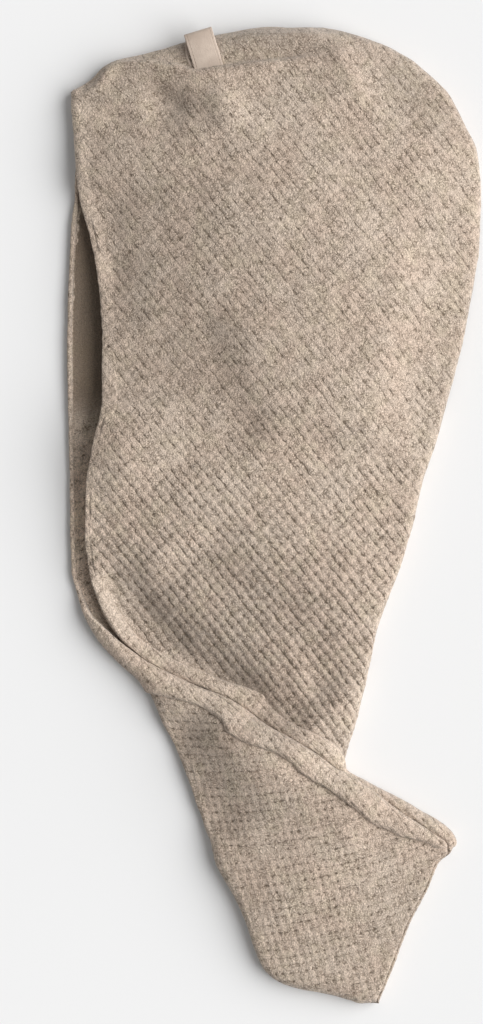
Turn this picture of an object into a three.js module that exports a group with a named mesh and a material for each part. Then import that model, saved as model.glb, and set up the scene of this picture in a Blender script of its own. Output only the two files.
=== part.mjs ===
// Hair turban towel of thick waffle towelling, laid flat: a puffed pocket for the head narrows
// into a tail, and half a turn in the tail carries the hemmed opening from the left edge across
// the front to a tip at the right. X runs across, Y from the tail to the crown, Z up.
import * as THREE from 'three';

// Overall sizes in millimetres
const LENGTH = 612;
const HOOD_WIDTH = 260;
const LOFT = 34;

// Cloth, hem and leather sizes in millimetres
const CLOTH = 3.2;
const GAP = 0.4;
const HEM_GAP = 0.8;
const HEM_WIDTH = 10.5;
const HEM_THICK = 5.2;
const FOLD_REACH = 6;
const FOLD_DEPTH = 5.5;
const END_ROUND = 8;
const TUCK_UNDER = 3;
const LOOP_WIDTH = 18;
const LOOP_LENGTH = 24.5;
const LOOP_LEATHER = 1.3;
const LOOP_OPEN = 3.4;
const LOOP_GAP = 1.2;

// Steps between rows of cloth, and reach of the crowding at folds, in millimetres
const ROW_STEP = 18;
const TWIST_ROW_STEP = 9;
const CROWN_ROW_STEP = 5.4;
const TIP_ROW_STEP = 4.5;
const TIP_GAP = 0.8;
const FOLD_SPREAD = 9;
const PROBE = 0.35;

// Counts of points
const PANEL_COLUMNS = 20;
const HEM_SIDES = 8;
const EDGE_POINTS = 8;
const TOP_POINTS = 34;
const END_ROWS = 4;
const SPREAD_SAMPLES = 160;
const LOOP_POINTS = 12;

// Outline and height, tail to crown.
// along: share of LENGTH. left, right, slit: shares of HOOD_WIDTH from the left edge.
// height, lift: top of the cloth and rise of its edges, shares of LOFT.
const STATIONS = [
  { along: 0.000, left: 0.703, right: 0.751, slit: 0.751, height: 0.41, lift: 0.19 },
  { along: 0.009, left: 0.597, right: 0.758, slit: 0.758, height: 0.41, lift: 0.19 },
  { along: 0.022, left: 0.527, right: 0.770, slit: 0.770, height: 0.41, lift: 0.19 },
  { along: 0.036, left: 0.478, right: 0.783, slit: 0.783, height: 0.43, lift: 0.19 },
  { along: 0.054, left: 0.454, right: 0.799, slit: 0.799, height: 0.44, lift: 0.19 },
  { along: 0.085, left: 0.430, right: 0.829, slit: 0.829, height: 0.47, lift: 0.21 },
  { along: 0.116, left: 0.396, right: 0.867, slit: 0.867, height: 0.50, lift: 0.21 },
  { along: 0.145, left: 0.362, right: 0.896, slit: 0.896, height: 0.53, lift: 0.21 },
  { along: 0.155, left: 0.357, right: 0.923, slit: 0.923, height: 0.54, lift: 0.21 },
  { along: 0.165, left: 0.353, right: 0.930, slit: 0.916, height: 0.56, lift: 0.21 },
  { along: 0.177, left: 0.341, right: 0.916, slit: 0.877, height: 0.59, lift: 0.21 },
  { along: 0.193, left: 0.329, right: 0.862, slit: 0.819, height: 0.62, lift: 0.22 },
  { along: 0.208, left: 0.314, right: 0.797, slit: 0.768, height: 0.65, lift: 0.22 },
  { along: 0.224, left: 0.302, right: 0.722, slit: 0.713, height: 0.68, lift: 0.22 },
  { along: 0.241, left: 0.283, right: 0.664, slit: 0.650, height: 0.71, lift: 0.24 },
  { along: 0.260, left: 0.266, right: 0.674, slit: 0.592, height: 0.74, lift: 0.24 },
  { along: 0.285, left: 0.234, right: 0.693, slit: 0.486, height: 0.75, lift: 0.24 },
  { along: 0.311, left: 0.208, right: 0.708, slit: 0.399, height: 0.76, lift: 0.24 },
  { along: 0.331, left: 0.179, right: 0.720, slit: 0.287, height: 0.76, lift: 0.24 },
  { along: 0.352, left: 0.123, right: 0.730, slit: 0.191, height: 0.76, lift: 0.24 },
  { along: 0.377, left: 0.075, right: 0.742, slit: 0.123, height: 0.75, lift: 0.25 },
  { along: 0.413, left: 0.036, right: 0.771, slit: 0.077, height: 0.74, lift: 0.27 },
  { along: 0.449, left: 0.017, right: 0.802, slit: 0.051, height: 0.74, lift: 0.29 },
  { along: 0.485, left: 0.015, right: 0.826, slit: 0.044, height: 0.75, lift: 0.32 },
  { along: 0.531, left: 0.015, right: 0.853, slit: 0.046, height: 0.79, lift: 0.35 },
  { along: 0.577, left: 0.010, right: 0.889, slit: 0.065, height: 0.85, lift: 0.38 },
  { along: 0.619, left: 0.007, right: 0.916, slit: 0.085, height: 0.90, lift: 0.41 },
  { along: 0.685, left: 0.007, right: 0.954, slit: 0.085, height: 0.96, lift: 0.41 },
  { along: 0.742, left: 0.010, right: 0.981, slit: 0.075, height: 0.99, lift: 0.41 },
  { along: 0.793, left: 0.015, right: 0.993, slit: 0.051, height: 1.00, lift: 0.38 },
  { along: 0.834, left: 0.022, right: 0.995, slit: 0.029, height: 1.00, lift: 0.32 },
  { along: 0.870, left: 0.022, right: 0.986, slit: 0.023, height: 0.97, lift: 0.28 },
  { along: 0.900, left: 0.022, right: 0.954, slit: 0.022, height: 0.91, lift: 0.27 },
  { along: 0.933, left: 0.022, right: 0.913, slit: 0.022, height: 0.85, lift: 0.27 },
  { along: 0.947, left: 0.068, right: 0.884, slit: 0.068, height: 0.82, lift: 0.27 },
  { along: 0.959, left: 0.101, right: 0.850, slit: 0.101, height: 0.78, lift: 0.27 },
  { along: 0.965, left: 0.130, right: 0.831, slit: 0.297, height: 0.77, lift: 0.27 },
  { along: 0.973, left: 0.200, right: 0.797, slit: 0.329, height: 0.74, lift: 0.27 },
  { along: 0.983, left: 0.278, right: 0.742, slit: 0.355, height: 0.71, lift: 0.27 },
  { along: 0.991, left: 0.355, right: 0.688, slit: 0.399, height: 0.68, lift: 0.27 },
  { along: 0.996, left: 0.418, right: 0.650, slit: 0.442, height: 0.65, lift: 0.27 },
  { along: 1.000, left: 0.471, right: 0.616, slit: 0.471, height: 0.65, lift: 0.27 },
];

// Dents and folds pressed into the top of the cloth.
// along: share of LENGTH. across, reach, spread: shares of HOOD_WIDTH. turn: degrees from X.
// rise: share of LOFT, below zero for a dent.
const FOLDS = [
  { along: 0.931, across: 0.225, reach: 0.082, spread: 0.022, turn: -8, rise: -0.10 },
  { along: 0.908, across: 0.109, reach: 0.034, spread: 0.031, turn: 0, rise: -0.08 },
  { along: 0.920, across: 0.396, reach: 0.077, spread: 0.024, turn: -45, rise: 0.06 },
  { along: 0.947, across: 0.696, reach: 0.101, spread: 0.029, turn: -66, rise: 0.06 },
  { along: 0.771, across: 0.147, reach: 0.092, spread: 0.043, turn: -62, rise: -0.09 },
  { along: 0.648, across: 0.362, reach: 0.213, spread: 0.036, turn: -62, rise: -0.09 },
  { along: 0.557, across: 0.171, reach: 0.097, spread: 0.068, turn: 60, rise: 0.09 },
  { along: 0.501, across: 0.147, reach: 0.068, spread: 0.048, turn: 0, rise: -0.06 },
  { along: 0.399, across: 0.263, reach: 0.159, spread: 0.027, turn: -46, rise: -0.13 },
  { along: 0.321, across: 0.442, reach: 0.106, spread: 0.024, turn: -46, rise: -0.12 },
  { along: 0.413, across: 0.512, reach: 0.121, spread: 0.034, turn: -5, rise: -0.07 },
  { along: 0.349, across: 0.633, reach: 0.121, spread: 0.024, turn: -86, rise: -0.07 },
  { along: 0.321, across: 0.570, reach: 0.077, spread: 0.024, turn: -70, rise: 0.06 },
  { along: 0.685, across: 0.809, reach: 0.229, spread: 0.063, turn: -80, rise: 0.04 },
  { along: 0.275, across: 0.309, reach: 0.092, spread: 0.048, turn: -60, rise: -0.06 },
  { along: 0.126, across: 0.563, reach: 0.145, spread: 0.109, turn: 60, rise: 0.06 },
];

// Where the twist and the opening begin and end, shares of LENGTH
const OPENING_TOP = 0.930;
const OPENING_TIP = 0.160;
const TUCK_START = 0.834;
const ROLL_START = 0.424;
const ROLL_END = 0.362;
const TWIST_START = 0.380;
const SEAM_TURNED = 0.150;
const TIP_ROWS_FROM = 0.120;
const TUCK_RUN = 0.030;
const TUCK_END_RUN = 0.020;
const ROLL_RUN = 0.030;

// Plain ratios: where the turned seam rests on the underside, the growth of the thick hem and of
// the seam's gap, the run over which that gap grows, the crowding at folds, the steepest outline
// followed, the least round at the two ends, the right edge's rise as a share of LOFT, the power
// of the dome's sine, and the share of the loop's length over which it closes
const SEAM_REST = 0.52;
const ROLL_EXTRA = 0.5;
const SEAM_EASE = 3;
const SEAM_EASE_RUN = 0.005;
const FOLD_CROWDING = 5;
const STEEPEST = 4;
const LEAST_CAP = 0.2;
const RIGHT_LIFT = 0.26;
const DOME_POWER = 0.85;
const LOOP_CLOSED_BY = 0.8;

// Where the leather loop is sewn in, shares of HOOD_WIDTH and LENGTH, and its lean in degrees
const LOOP_ACROSS = 0.342;
const LOOP_ALONG = 0.9585;
const LOOP_LEAN = 107;
const LOOP_DROP = 0.27;

// Sides of the opening
const UPPER = 1;
const LOWER = -1;

const TOWELLING = { color: 0xb5a08e, roughness: 0.97, metalness: 0 };
const HEMMED_TOWELLING = { color: 0xb39e8a, roughness: 0.97, metalness: 0 };
const LEATHER = { color: 0xc9b4a1, roughness: 0.55, metalness: 0 };

// Share from 0 to 1 of the way from a to b, eased at both ends; b may be below a.
function eased(a, b, value) {
  const t = Math.min(Math.max((value - a) / (b - a), 0), 1);
  return t * t * (3 - 2 * t);
}

// A column of STATIONS at a place along the towel, without overshoot between its rows.
function column(name, along) {
  const last = STATIONS.length - 2;
  let i = 0;
  while (i < last && STATIONS[i + 1].along < along) i += 1;
  const slope = (k) => {
    const j = Math.min(Math.max(k, 0), last);
    return (STATIONS[j + 1][name] - STATIONS[j][name])
      / (STATIONS[j + 1].along - STATIONS[j].along);
  };
  const tangent = (k) => {
    const before = slope(k - 1);
    const after = slope(k);
    return before * after <= 0 ? 0 : (2 * before * after) / (before + after);
  };
  const from = STATIONS[i];
  const to = STATIONS[i + 1];
  const width = to.along - from.along;
  const t = (along - from.along) / width;
  const u = 1 - t;
  return from[name] * u * u * (1 + 2 * t)
    + to[name] * t * t * (3 - 2 * t)
    + width * t * u * (tangent(i) * u - tangent(i + 1) * t);
}

// Quarter-round share of the full height at a distance in from an edge.
function rounded(distance, reach) {
  const t = Math.min(Math.max(distance / reach, 0), 1);
  return Math.sqrt(1 - (1 - t) * (1 - t));
}

// Height added by the dents and folds at a place in millimetres.
function folded(x, y) {
  return FOLDS.reduce((sum, fold) => {
    const turn = THREE.MathUtils.degToRad(fold.turn);
    const dx = x - fold.across * HOOD_WIDTH;
    const dy = y - fold.along * LENGTH;
    const u = (dx * Math.cos(turn) + dy * Math.sin(turn)) / (fold.reach * HOOD_WIDTH);
    const v = (dy * Math.cos(turn) - dx * Math.sin(turn)) / (fold.spread * HOOD_WIDTH);
    return sum + fold.rise * LOFT * Math.exp(-u * u - v * v);
  }, 0);
}

// One cut straight across the towel: the loop that its outside makes, measured in millimetres
// of cloth from the left fold, above zero over the top and below zero underneath.
class Cut {
  constructor(y) {
    this.y = y;
    this.along = y / LENGTH;
    this.left = column('left', this.along) * HOOD_WIDTH;
    this.right = column('right', this.along) * HOOD_WIDTH;
    this.cap = rounded(Math.min(y, LENGTH - y) + GAP / 2, END_ROUND);
    this.top = this.measured((x) => this.topAt(x));
    this.under = this.measured((x) => this.underAt(x));
    this.topReach = this.top[this.top.length - 1].a;
    this.underReach = this.under[this.under.length - 1].a;
    this.around = this.topReach + this.underReach;
  }

  // How far the round of an edge reaches in, more where the outline runs nearly across.
  reach(name) {
    const step = PROBE / LENGTH;
    const low = Math.max(this.along - step, 0);
    const high = Math.min(this.along + step, 1);
    const run = ((column(name, high) - column(name, low)) * HOOD_WIDTH)
      / ((high - low) * LENGTH);
    return FOLD_REACH * Math.min(Math.hypot(1, run), STEEPEST) * Math.max(this.cap, LEAST_CAP);
  }

  // Both edges' rounds at a place across.
  edges(x) {
    this.leftReach ??= this.reach('left');
    this.rightReach ??= this.reach('right');
    return rounded(x - this.left, this.leftReach) * rounded(this.right - x, this.rightReach);
  }

  topAt(x) {
    const q = (x - this.left) / (this.right - this.left);
    const height = column('height', this.along) * LOFT;
    const turned = eased(TWIST_START, SEAM_TURNED, this.along);
    const leftLift = column('lift', this.along) * LOFT;
    const rightLift = THREE.MathUtils.lerp(LOFT * RIGHT_LIFT, leftLift, turned);
    const lift = THREE.MathUtils.lerp(leftLift, rightLift, THREE.MathUtils.smoothstep(q, 0, 1));
    const dome = Math.max(height - FOLD_DEPTH - (leftLift + rightLift) / 2, 0)
      * Math.sin(Math.PI * THREE.MathUtils.clamp(q, 0, 1)) ** DOME_POWER;
    const round = this.edges(x);
    return FOLD_DEPTH + this.cap * (lift * round + (dome + folded(x, this.y)) * round);
  }

  underAt(x) {
    return FOLD_DEPTH * (1 - this.cap * this.edges(x));
  }

  // Points from the left fold to the right one, closer together on the folds.
  measured(heightAt) {
    const places = [];
    const leftReach = this.leftReach ?? this.reach('left');
    const rightReach = this.rightReach ?? this.reach('right');
    for (let i = 0; i < EDGE_POINTS; i += 1) {
      places.push(this.left + leftReach * (1 - Math.cos((Math.PI / 2) * (i / EDGE_POINTS))));
    }
    const from = this.left + leftReach;
    const to = this.right - rightReach;
    for (let i = 0; i <= TOP_POINTS; i += 1) places.push(from + (to - from) * (i / TOP_POINTS));
    for (let i = EDGE_POINTS - 1; i >= 0; i -= 1) {
      places.push(this.right - rightReach * (1 - Math.cos((Math.PI / 2) * (i / EDGE_POINTS))));
    }
    let a = 0;
    let before = null;
    return places.map((x) => {
      const z = heightAt(x);
      if (before) a += Math.hypot(x - before.x, z - before.z);
      before = { x, z, a };
      return before;
    });
  }

  // A length of cloth as a share of its side: 0 to 1 over the top, 0 to -1 underneath.
  shareOf(length) {
    let a = length;
    if (a > this.topReach) a -= this.around;
    if (a < -this.underReach) a += this.around;
    return a / (a >= 0 ? this.topReach : this.underReach);
  }

  // The point of the outside at a share of its side.
  at(share) {
    const line = share >= 0 ? this.top : this.under;
    const wanted = Math.abs(share) * line[line.length - 1].a;
    let i = 1;
    while (i < line.length - 1 && line[i].a < wanted) i += 1;
    const t = (wanted - line[i - 1].a) / Math.max(line[i].a - line[i - 1].a, 1e-9);
    return new THREE.Vector3(
      THREE.MathUtils.lerp(line[i - 1].x, line[i].x, t),
      this.y,
      THREE.MathUtils.lerp(line[i - 1].z, line[i].z, t),
    );
  }

  // Length of cloth over the top from the left fold to a place across.
  lengthTo(x) {
    let i = 1;
    while (i < this.top.length - 1 && this.top[i].x < x) i += 1;
    const from = this.top[i - 1];
    const to = this.top[i];
    const t = THREE.MathUtils.clamp((x - from.x) / Math.max(to.x - from.x, 1e-9), 0, 1);
    return from.a + (to.a - from.a) * t;
  }
}

// A row of cloth: its cut, the cuts just before and after it, and where the opening and the
// seam cross it.
class Row {
  constructor(y) {
    this.cut = new Cut(y);
    this.before = new Cut(Math.max(y - PROBE, 0));
    this.after = new Cut(Math.min(y + PROBE, LENGTH));
    const { along } = this.cut;
    const slitAt = (share) => column('slit', share) * HOOD_WIDTH;
    const step = PROBE / LENGTH;
    const low = Math.max(along - step, 0);
    const high = Math.min(along + step, 1);
    const run = (slitAt(high) - slitAt(low)) / ((high - low) * LENGTH);
    this.slant = Math.min(Math.hypot(1, run), STEEPEST);
    this.upper = this.cut.lengthTo(slitAt(along));
    this.open = along <= OPENING_TOP && along >= OPENING_TIP;
    const rolled = eased(ROLL_START, ROLL_END, along);
    const tucked = TUCK_UNDER * eased(TUCK_START, TUCK_START + TUCK_RUN, along)
      * eased(OPENING_TOP, OPENING_TOP - TUCK_END_RUN, along);
    this.lower = along > OPENING_TOP
      ? this.upper
      : THREE.MathUtils.lerp(-tucked, this.upper, rolled);
    const turned = eased(TWIST_START, SEAM_TURNED, along);
    this.seam = THREE.MathUtils.lerp(-1, -SEAM_REST, turned) * this.cut.underReach;
    this.seamGap = GAP * (1 + SEAM_EASE * eased(0, SEAM_EASE_RUN, turned));
    const rolling = eased(OPENING_TIP, OPENING_TIP + ROLL_RUN, along);
    this.roll = 1 + ROLL_EXTRA * rolled * rolling;
  }

  // Length of cloth that one hem takes up: the plain one above, the thicker one below.
  hemWidth(side) {
    if (!this.open) return 0;
    return HEM_WIDTH * this.slant * (side < 0 ? this.roll : 1);
  }

  // A point at a depth below the outside, along the surface's own normal there.
  inside(length, depth) {
    const share = this.cut.shareOf(length);
    const point = this.cut.at(share);
    const across = this.cut.at(this.cut.shareOf(length + PROBE))
      .sub(this.cut.at(this.cut.shareOf(length - PROBE)));
    const onwards = this.after.at(share).sub(this.before.at(share));
    const normal = across.cross(onwards).normalize();
    const under = point.z < FOLD_DEPTH;
    point.addScaledVector(normal, -depth);
    if (depth > 0) {
      point.z = under
        ? Math.min(point.z, FOLD_DEPTH - GAP / 2)
        : Math.max(point.z, FOLD_DEPTH + GAP / 2);
    }
    point.z = Math.max(point.z, 0);
    return point;
  }
}

// Places along the towel, closer together in the twist and on the rounds of both ends.
function rowPlaces() {
  const places = [];
  for (let i = 0; i < END_ROWS; i += 1) {
    places.push(END_ROUND * (1 - Math.cos((Math.PI / 2) * (i / END_ROWS))));
  }
  const twistFrom = OPENING_TIP * LENGTH;
  const twistTo = ROLL_START * LENGTH;
  const bodyTo = OPENING_TOP * LENGTH;
  const run = (from, to, step) => {
    const count = Math.round((to - from) / step);
    for (let i = 0; i < count; i += 1) places.push(from + (to - from) * (i / count));
  };
  run(END_ROUND, TIP_ROWS_FROM * LENGTH, ROW_STEP);
  run(TIP_ROWS_FROM * LENGTH, twistFrom - TIP_GAP, TIP_ROW_STEP);
  places.push(twistFrom - TIP_GAP);
  run(twistFrom, twistTo, TWIST_ROW_STEP);
  run(twistTo, bodyTo, ROW_STEP);
  places.push(bodyTo);
  run(bodyTo + TIP_GAP, LENGTH - END_ROUND, CROWN_ROW_STEP);
  for (let i = END_ROWS; i >= 0; i -= 1) {
    places.push(LENGTH - END_ROUND * (1 - Math.cos((Math.PI / 2) * (i / END_ROWS))));
  }
  return places;
}

const ROWS = rowPlaces().map((y) => new Row(y));

// Lengths from one side of a panel to the other, crowded together where the cloth folds over.
function spread(row, from, to) {
  const folds = [-row.cut.underReach, 0, row.cut.topReach, row.cut.around];
  const weights = [0];
  for (let i = 1; i <= SPREAD_SAMPLES; i += 1) {
    const a = from + (to - from) * ((i - 0.5) / SPREAD_SAMPLES);
    const near = Math.min(...folds.map((fold) => Math.abs(a - fold)));
    weights.push(weights[i - 1] + 1 + FOLD_CROWDING * Math.exp(-((near / FOLD_SPREAD) ** 2)));
  }
  const total = weights[SPREAD_SAMPLES];
  const lengths = [];
  let k = 0;
  for (let j = 0; j <= PANEL_COLUMNS; j += 1) {
    const wanted = total * (j / PANEL_COLUMNS);
    while (k < SPREAD_SAMPLES - 1 && weights[k + 1] < wanted) k += 1;
    const t = (wanted - weights[k]) / (weights[k + 1] - weights[k]);
    lengths.push(from + ((to - from) * (k + t)) / SPREAD_SAMPLES);
  }
  return lengths;
}

// A closed skin from rings of points: each ring joins the next, and both ends are filled.
function skin(rings) {
  const across = rings[0].length;
  const positions = [];
  const index = [];
  rings.forEach((ring) => ring.forEach((p) => positions.push(p.x, p.y, p.z)));
  for (let i = 0; i < rings.length - 1; i += 1) {
    for (let j = 0; j < across; j += 1) {
      const a = i * across + j;
      const b = i * across + ((j + 1) % across);
      index.push(a, b, b + across, a, b + across, a + across);
    }
  }
  [0, rings.length - 1].forEach((end) => {
    const start = end * across;
    for (let j = 0; j < across / 2 - 1; j += 1) {
      const near = [start + j, start + j + 1];
      const far = [start + across - 2 - j, start + across - 1 - j];
      const faces = [near[0], far[1], far[0], near[0], far[0], near[1]];
      index.push(...(end === 0 ? faces : faces.reverse()));
    }
  });
  const geometry = new THREE.BufferGeometry();
  geometry.setAttribute('position', new THREE.Float32BufferAttribute(positions, 3));
  geometry.setIndex(index);
  geometry.computeVertexNormals();
  return geometry;
}

// One cloth panel between the opening and the seam, hollow side inwards.
function panel(fromOf, toOf) {
  return skin(ROWS.map((row) => {
    const lengths = spread(row, fromOf(row), toOf(row));
    const outer = lengths.map((a) => row.inside(a, 0));
    const inner = lengths.map((a) => row.inside(a, CLOTH));
    return [...outer, ...inner.reverse()];
  }));
}

// One turned hem, an oval roll of cloth along the edge of the opening.
function hem(side) {
  const rows = ROWS.filter((row) => row.open);
  return skin(rows.map((row) => {
    const width = row.hemWidth(side) - HEM_GAP * row.slant;
    const thick = side < 0 ? HEM_THICK * row.roll : HEM_THICK;
    const edge = (side < 0 ? row.lower : row.upper) + (side * HEM_GAP * row.slant) / 2;
    const start = side < 0 ? edge - width : edge;
    const ring = [];
    for (let i = 0; i < HEM_SIDES; i += 1) {
      const turn = Math.PI - (Math.PI * 2 * (i + 0.5)) / HEM_SIDES;
      const depth = CLOTH - (thick / 2) * (1 + Math.sin(turn));
      ring.push(row.inside(start + (width / 2) * (1 + Math.cos(turn)), depth));
    }
    return ring;
  }));
}

// The leather strap, doubled back on itself with a small eye at its far end.
function loop() {
  const half = LOOP_LEATHER / 2;
  const bend = LOOP_OPEN / 2 + half;
  const middle = [];
  for (let i = 0; i <= LOOP_POINTS; i += 1) {
    const t = i / LOOP_POINTS;
    middle.push(new THREE.Vector2(t * (LOOP_LENGTH - bend - half), half));
  }
  for (let i = 1; i < LOOP_POINTS; i += 1) {
    const turn = -Math.PI / 2 + (Math.PI * i) / LOOP_POINTS;
    middle.push(new THREE.Vector2(
      LOOP_LENGTH - bend - half + bend * Math.cos(turn),
      half + bend + bend * Math.sin(turn),
    ));
  }
  const closed = half + LOOP_LEATHER + GAP;
  for (let i = 0; i <= LOOP_POINTS; i += 1) {
    const t = i / LOOP_POINTS;
    const shut = THREE.MathUtils.smoothstep(t, 0, LOOP_CLOSED_BY);
    const high = THREE.MathUtils.lerp(half + 2 * bend, closed, shut);
    middle.push(new THREE.Vector2((1 - t) * (LOOP_LENGTH - bend - half), high));
  }
  const side = (distance) => middle.map((p, i) => {
    const ahead = middle[Math.min(i + 1, middle.length - 1)];
    const behind = middle[Math.max(i - 1, 0)];
    const run = ahead.clone().sub(behind).normalize();
    return new THREE.Vector2(p.x + run.y * distance, p.y - run.x * distance);
  });
  const shape = new THREE.Shape([...side(half), ...side(-half).reverse()]);
  const geometry = new THREE.ExtrudeGeometry(shape, {
    depth: LOOP_WIDTH,
    bevelEnabled: false,
  });
  const foot = new Cut(LOOP_ALONG * LENGTH);
  const lean = THREE.MathUtils.degToRad(LOOP_LEAN);
  const onwards = new THREE.Vector3(Math.cos(lean), Math.sin(lean), -LOOP_DROP).normalize();
  const across = new THREE.Vector3(Math.sin(lean), -Math.cos(lean), 0);
  const upwards = across.clone().cross(onwards);
  const x = LOOP_ACROSS * HOOD_WIDTH;
  const rest = new THREE.Vector3(x, foot.y, foot.topAt(x) + LOOP_GAP);
  rest.addScaledVector(across, -LOOP_WIDTH / 2);
  const basis = new THREE.Matrix4().makeBasis(onwards, upwards, across);
  geometry.applyMatrix4(basis.setPosition(rest));
  return geometry;
}

function piece(name, geometry, finish) {
  geometry.translate(-HOOD_WIDTH / 2, -LENGTH / 2, 0);
  const mesh = new THREE.Mesh(geometry, new THREE.MeshStandardMaterial(finish));
  mesh.name = name;
  return mesh;
}

const towel = new THREE.Group();
towel.name = 'hair_turban_towel';
towel.add(
  piece('upper_panel', panel(
    (row) => row.upper + row.hemWidth(UPPER) + HEM_GAP * row.slant,
    (row) => row.seam + row.cut.around - row.seamGap / 2,
  ), TOWELLING),
  piece('lower_panel', panel(
    (row) => row.seam + row.seamGap / 2,
    (row) => row.lower - row.hemWidth(LOWER) - HEM_GAP * row.slant,
  ), TOWELLING),
  piece('upper_hem', hem(UPPER), HEMMED_TOWELLING),
  piece('lower_hem', hem(LOWER), HEMMED_TOWELLING),
  piece('hanging_loop', loop(), LEATHER),
);

export default towel;
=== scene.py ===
"""A hair turban towel of plush waffle towelling, laid flat with half a turn in its tail."""

import logging
import math
from dataclasses import dataclass, field
from enum import Enum
from typing import NamedTuple, Union

import bmesh
import bpy
import numpy as np
from mathutils import Matrix, Vector, noise


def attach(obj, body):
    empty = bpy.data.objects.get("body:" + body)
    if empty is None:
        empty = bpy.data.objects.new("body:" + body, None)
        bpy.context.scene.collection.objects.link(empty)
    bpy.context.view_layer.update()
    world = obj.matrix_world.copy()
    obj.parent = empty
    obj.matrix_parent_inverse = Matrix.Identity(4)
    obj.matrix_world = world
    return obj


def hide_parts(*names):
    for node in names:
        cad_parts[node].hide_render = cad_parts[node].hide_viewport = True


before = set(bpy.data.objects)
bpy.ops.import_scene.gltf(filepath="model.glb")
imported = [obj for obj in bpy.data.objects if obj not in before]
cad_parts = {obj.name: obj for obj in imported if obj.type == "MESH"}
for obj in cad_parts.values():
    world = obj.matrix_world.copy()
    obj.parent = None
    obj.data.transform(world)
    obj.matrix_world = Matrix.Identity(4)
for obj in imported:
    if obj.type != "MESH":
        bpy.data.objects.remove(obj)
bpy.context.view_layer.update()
LOG = logging.getLogger("towel")
# Metres in a millimetre, and a distance beyond any on the towel.
MM = 0.001
FAR = 1e9


class Station(NamedTuple):
    """One cut across the towel: shares of its length, pocket width and loft."""

    along: float
    left: float
    right: float
    slit: float
    height: float
    lift: float


class Fold(NamedTuple):
    """A dent or ridge pressed into the top: place, half sizes, turn in degrees and rise."""

    along: float
    across: float
    reach: float
    spread: float
    turn: float
    rise: float


class Side(Enum):
    """Which of the two cloths a piece belongs to."""

    UPPER = 1
    LOWER = -1


STATIONS: tuple[Station, ...] = tuple(
    Station(*row)
    for row in (
        (0.000, 0.703, 0.754, 0.751, 0.41, 0.19),
        (0.009, 0.640, 0.761, 0.758, 0.41, 0.19),
        (0.022, 0.512, 0.773, 0.770, 0.41, 0.19),
        (0.036, 0.474, 0.786, 0.783, 0.43, 0.19),
        (0.054, 0.454, 0.802, 0.799, 0.44, 0.19),
        (0.085, 0.430, 0.832, 0.829, 0.47, 0.21),
        (0.116, 0.396, 0.870, 0.867, 0.50, 0.21),
        (0.145, 0.358, 0.899, 0.896, 0.53, 0.21),
        (0.155, 0.352, 0.926, 0.923, 0.54, 0.21),
        (0.165, 0.347, 0.933, 0.916, 0.56, 0.21),
        (0.177, 0.335, 0.919, 0.877, 0.59, 0.21),
        (0.193, 0.323, 0.865, 0.819, 0.62, 0.18),
        (0.208, 0.309, 0.800, 0.768, 0.65, 0.18),
        (0.224, 0.298, 0.725, 0.713, 0.68, 0.18),
        (0.241, 0.283, 0.667, 0.650, 0.71, 0.18),
        (0.260, 0.266, 0.677, 0.592, 0.74, 0.17),
        (0.285, 0.234, 0.696, 0.486, 0.75, 0.16),
        (0.311, 0.208, 0.711, 0.399, 0.76, 0.14),
        (0.331, 0.184, 0.723, 0.287, 0.76, 0.13),
        (0.352, 0.128, 0.733, 0.191, 0.76, 0.13),
        (0.377, 0.075, 0.745, 0.123, 0.75, 0.14),
        (0.413, 0.031, 0.774, 0.077, 0.74, 0.18),
        (0.449, 0.010, 0.805, 0.051, 0.74, 0.19),
        (0.485, 0.008, 0.829, 0.044, 0.75, 0.22),
        (0.531, 0.007, 0.856, 0.046, 0.79, 0.27),
        (0.577, 0.004, 0.892, 0.065, 0.85, 0.34),
        (0.619, 0.002, 0.919, 0.085, 0.90, 0.41),
        (0.685, 0.001, 0.957, 0.085, 0.96, 0.41),
        (0.742, 0.004, 0.984, 0.075, 0.99, 0.41),
        (0.793, 0.010, 0.996, 0.051, 1.00, 0.38),
        (0.834, 0.019, 0.998, 0.025, 1.00, 0.26),
        (0.870, 0.017, 0.989, 0.018, 0.97, 0.20),
        (0.900, 0.014, 0.957, 0.014, 0.91, 0.17),
        (0.933, 0.010, 0.916, 0.010, 0.85, 0.16),
        (0.940, 0.036, 0.902, 0.036, 0.84, 0.16),
        (0.947, 0.060, 0.887, 0.060, 0.82, 0.16),
        (0.959, 0.086, 0.853, 0.086, 0.78, 0.17),
        (0.965, 0.114, 0.834, 0.297, 0.77, 0.17),
        (0.973, 0.190, 0.800, 0.329, 0.74, 0.18),
        (0.983, 0.278, 0.753, 0.355, 0.71, 0.20),
        (0.991, 0.355, 0.707, 0.399, 0.68, 0.21),
        (0.996, 0.418, 0.667, 0.442, 0.65, 0.22),
        (1.000, 0.471, 0.619, 0.471, 0.65, 0.22),
    )
)

# The rise of a fold is a share of the loft.
FOLDS: tuple[Fold, ...] = tuple(
    Fold(*row)
    for row in (
        (0.931, 0.225, 0.082, 0.022, -8, -0.11),
        (0.908, 0.120, 0.050, 0.031, 0, -0.09),
        (0.920, 0.396, 0.077, 0.024, -45, 0.06),
        (0.947, 0.696, 0.101, 0.029, -66, 0.06),
        (0.557, 0.125, 0.097, 0.075, 60, 0.14),
        (0.413, 0.512, 0.121, 0.034, -5, -0.10),
        (0.321, 0.570, 0.077, 0.024, -70, 0.06),
        (0.275, 0.309, 0.092, 0.048, -60, -0.06),
        (0.126, 0.563, 0.145, 0.109, 60, 0.06),
        (0.880, 0.880, 0.110, 0.100, 90, 0.11),
    )
)
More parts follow.
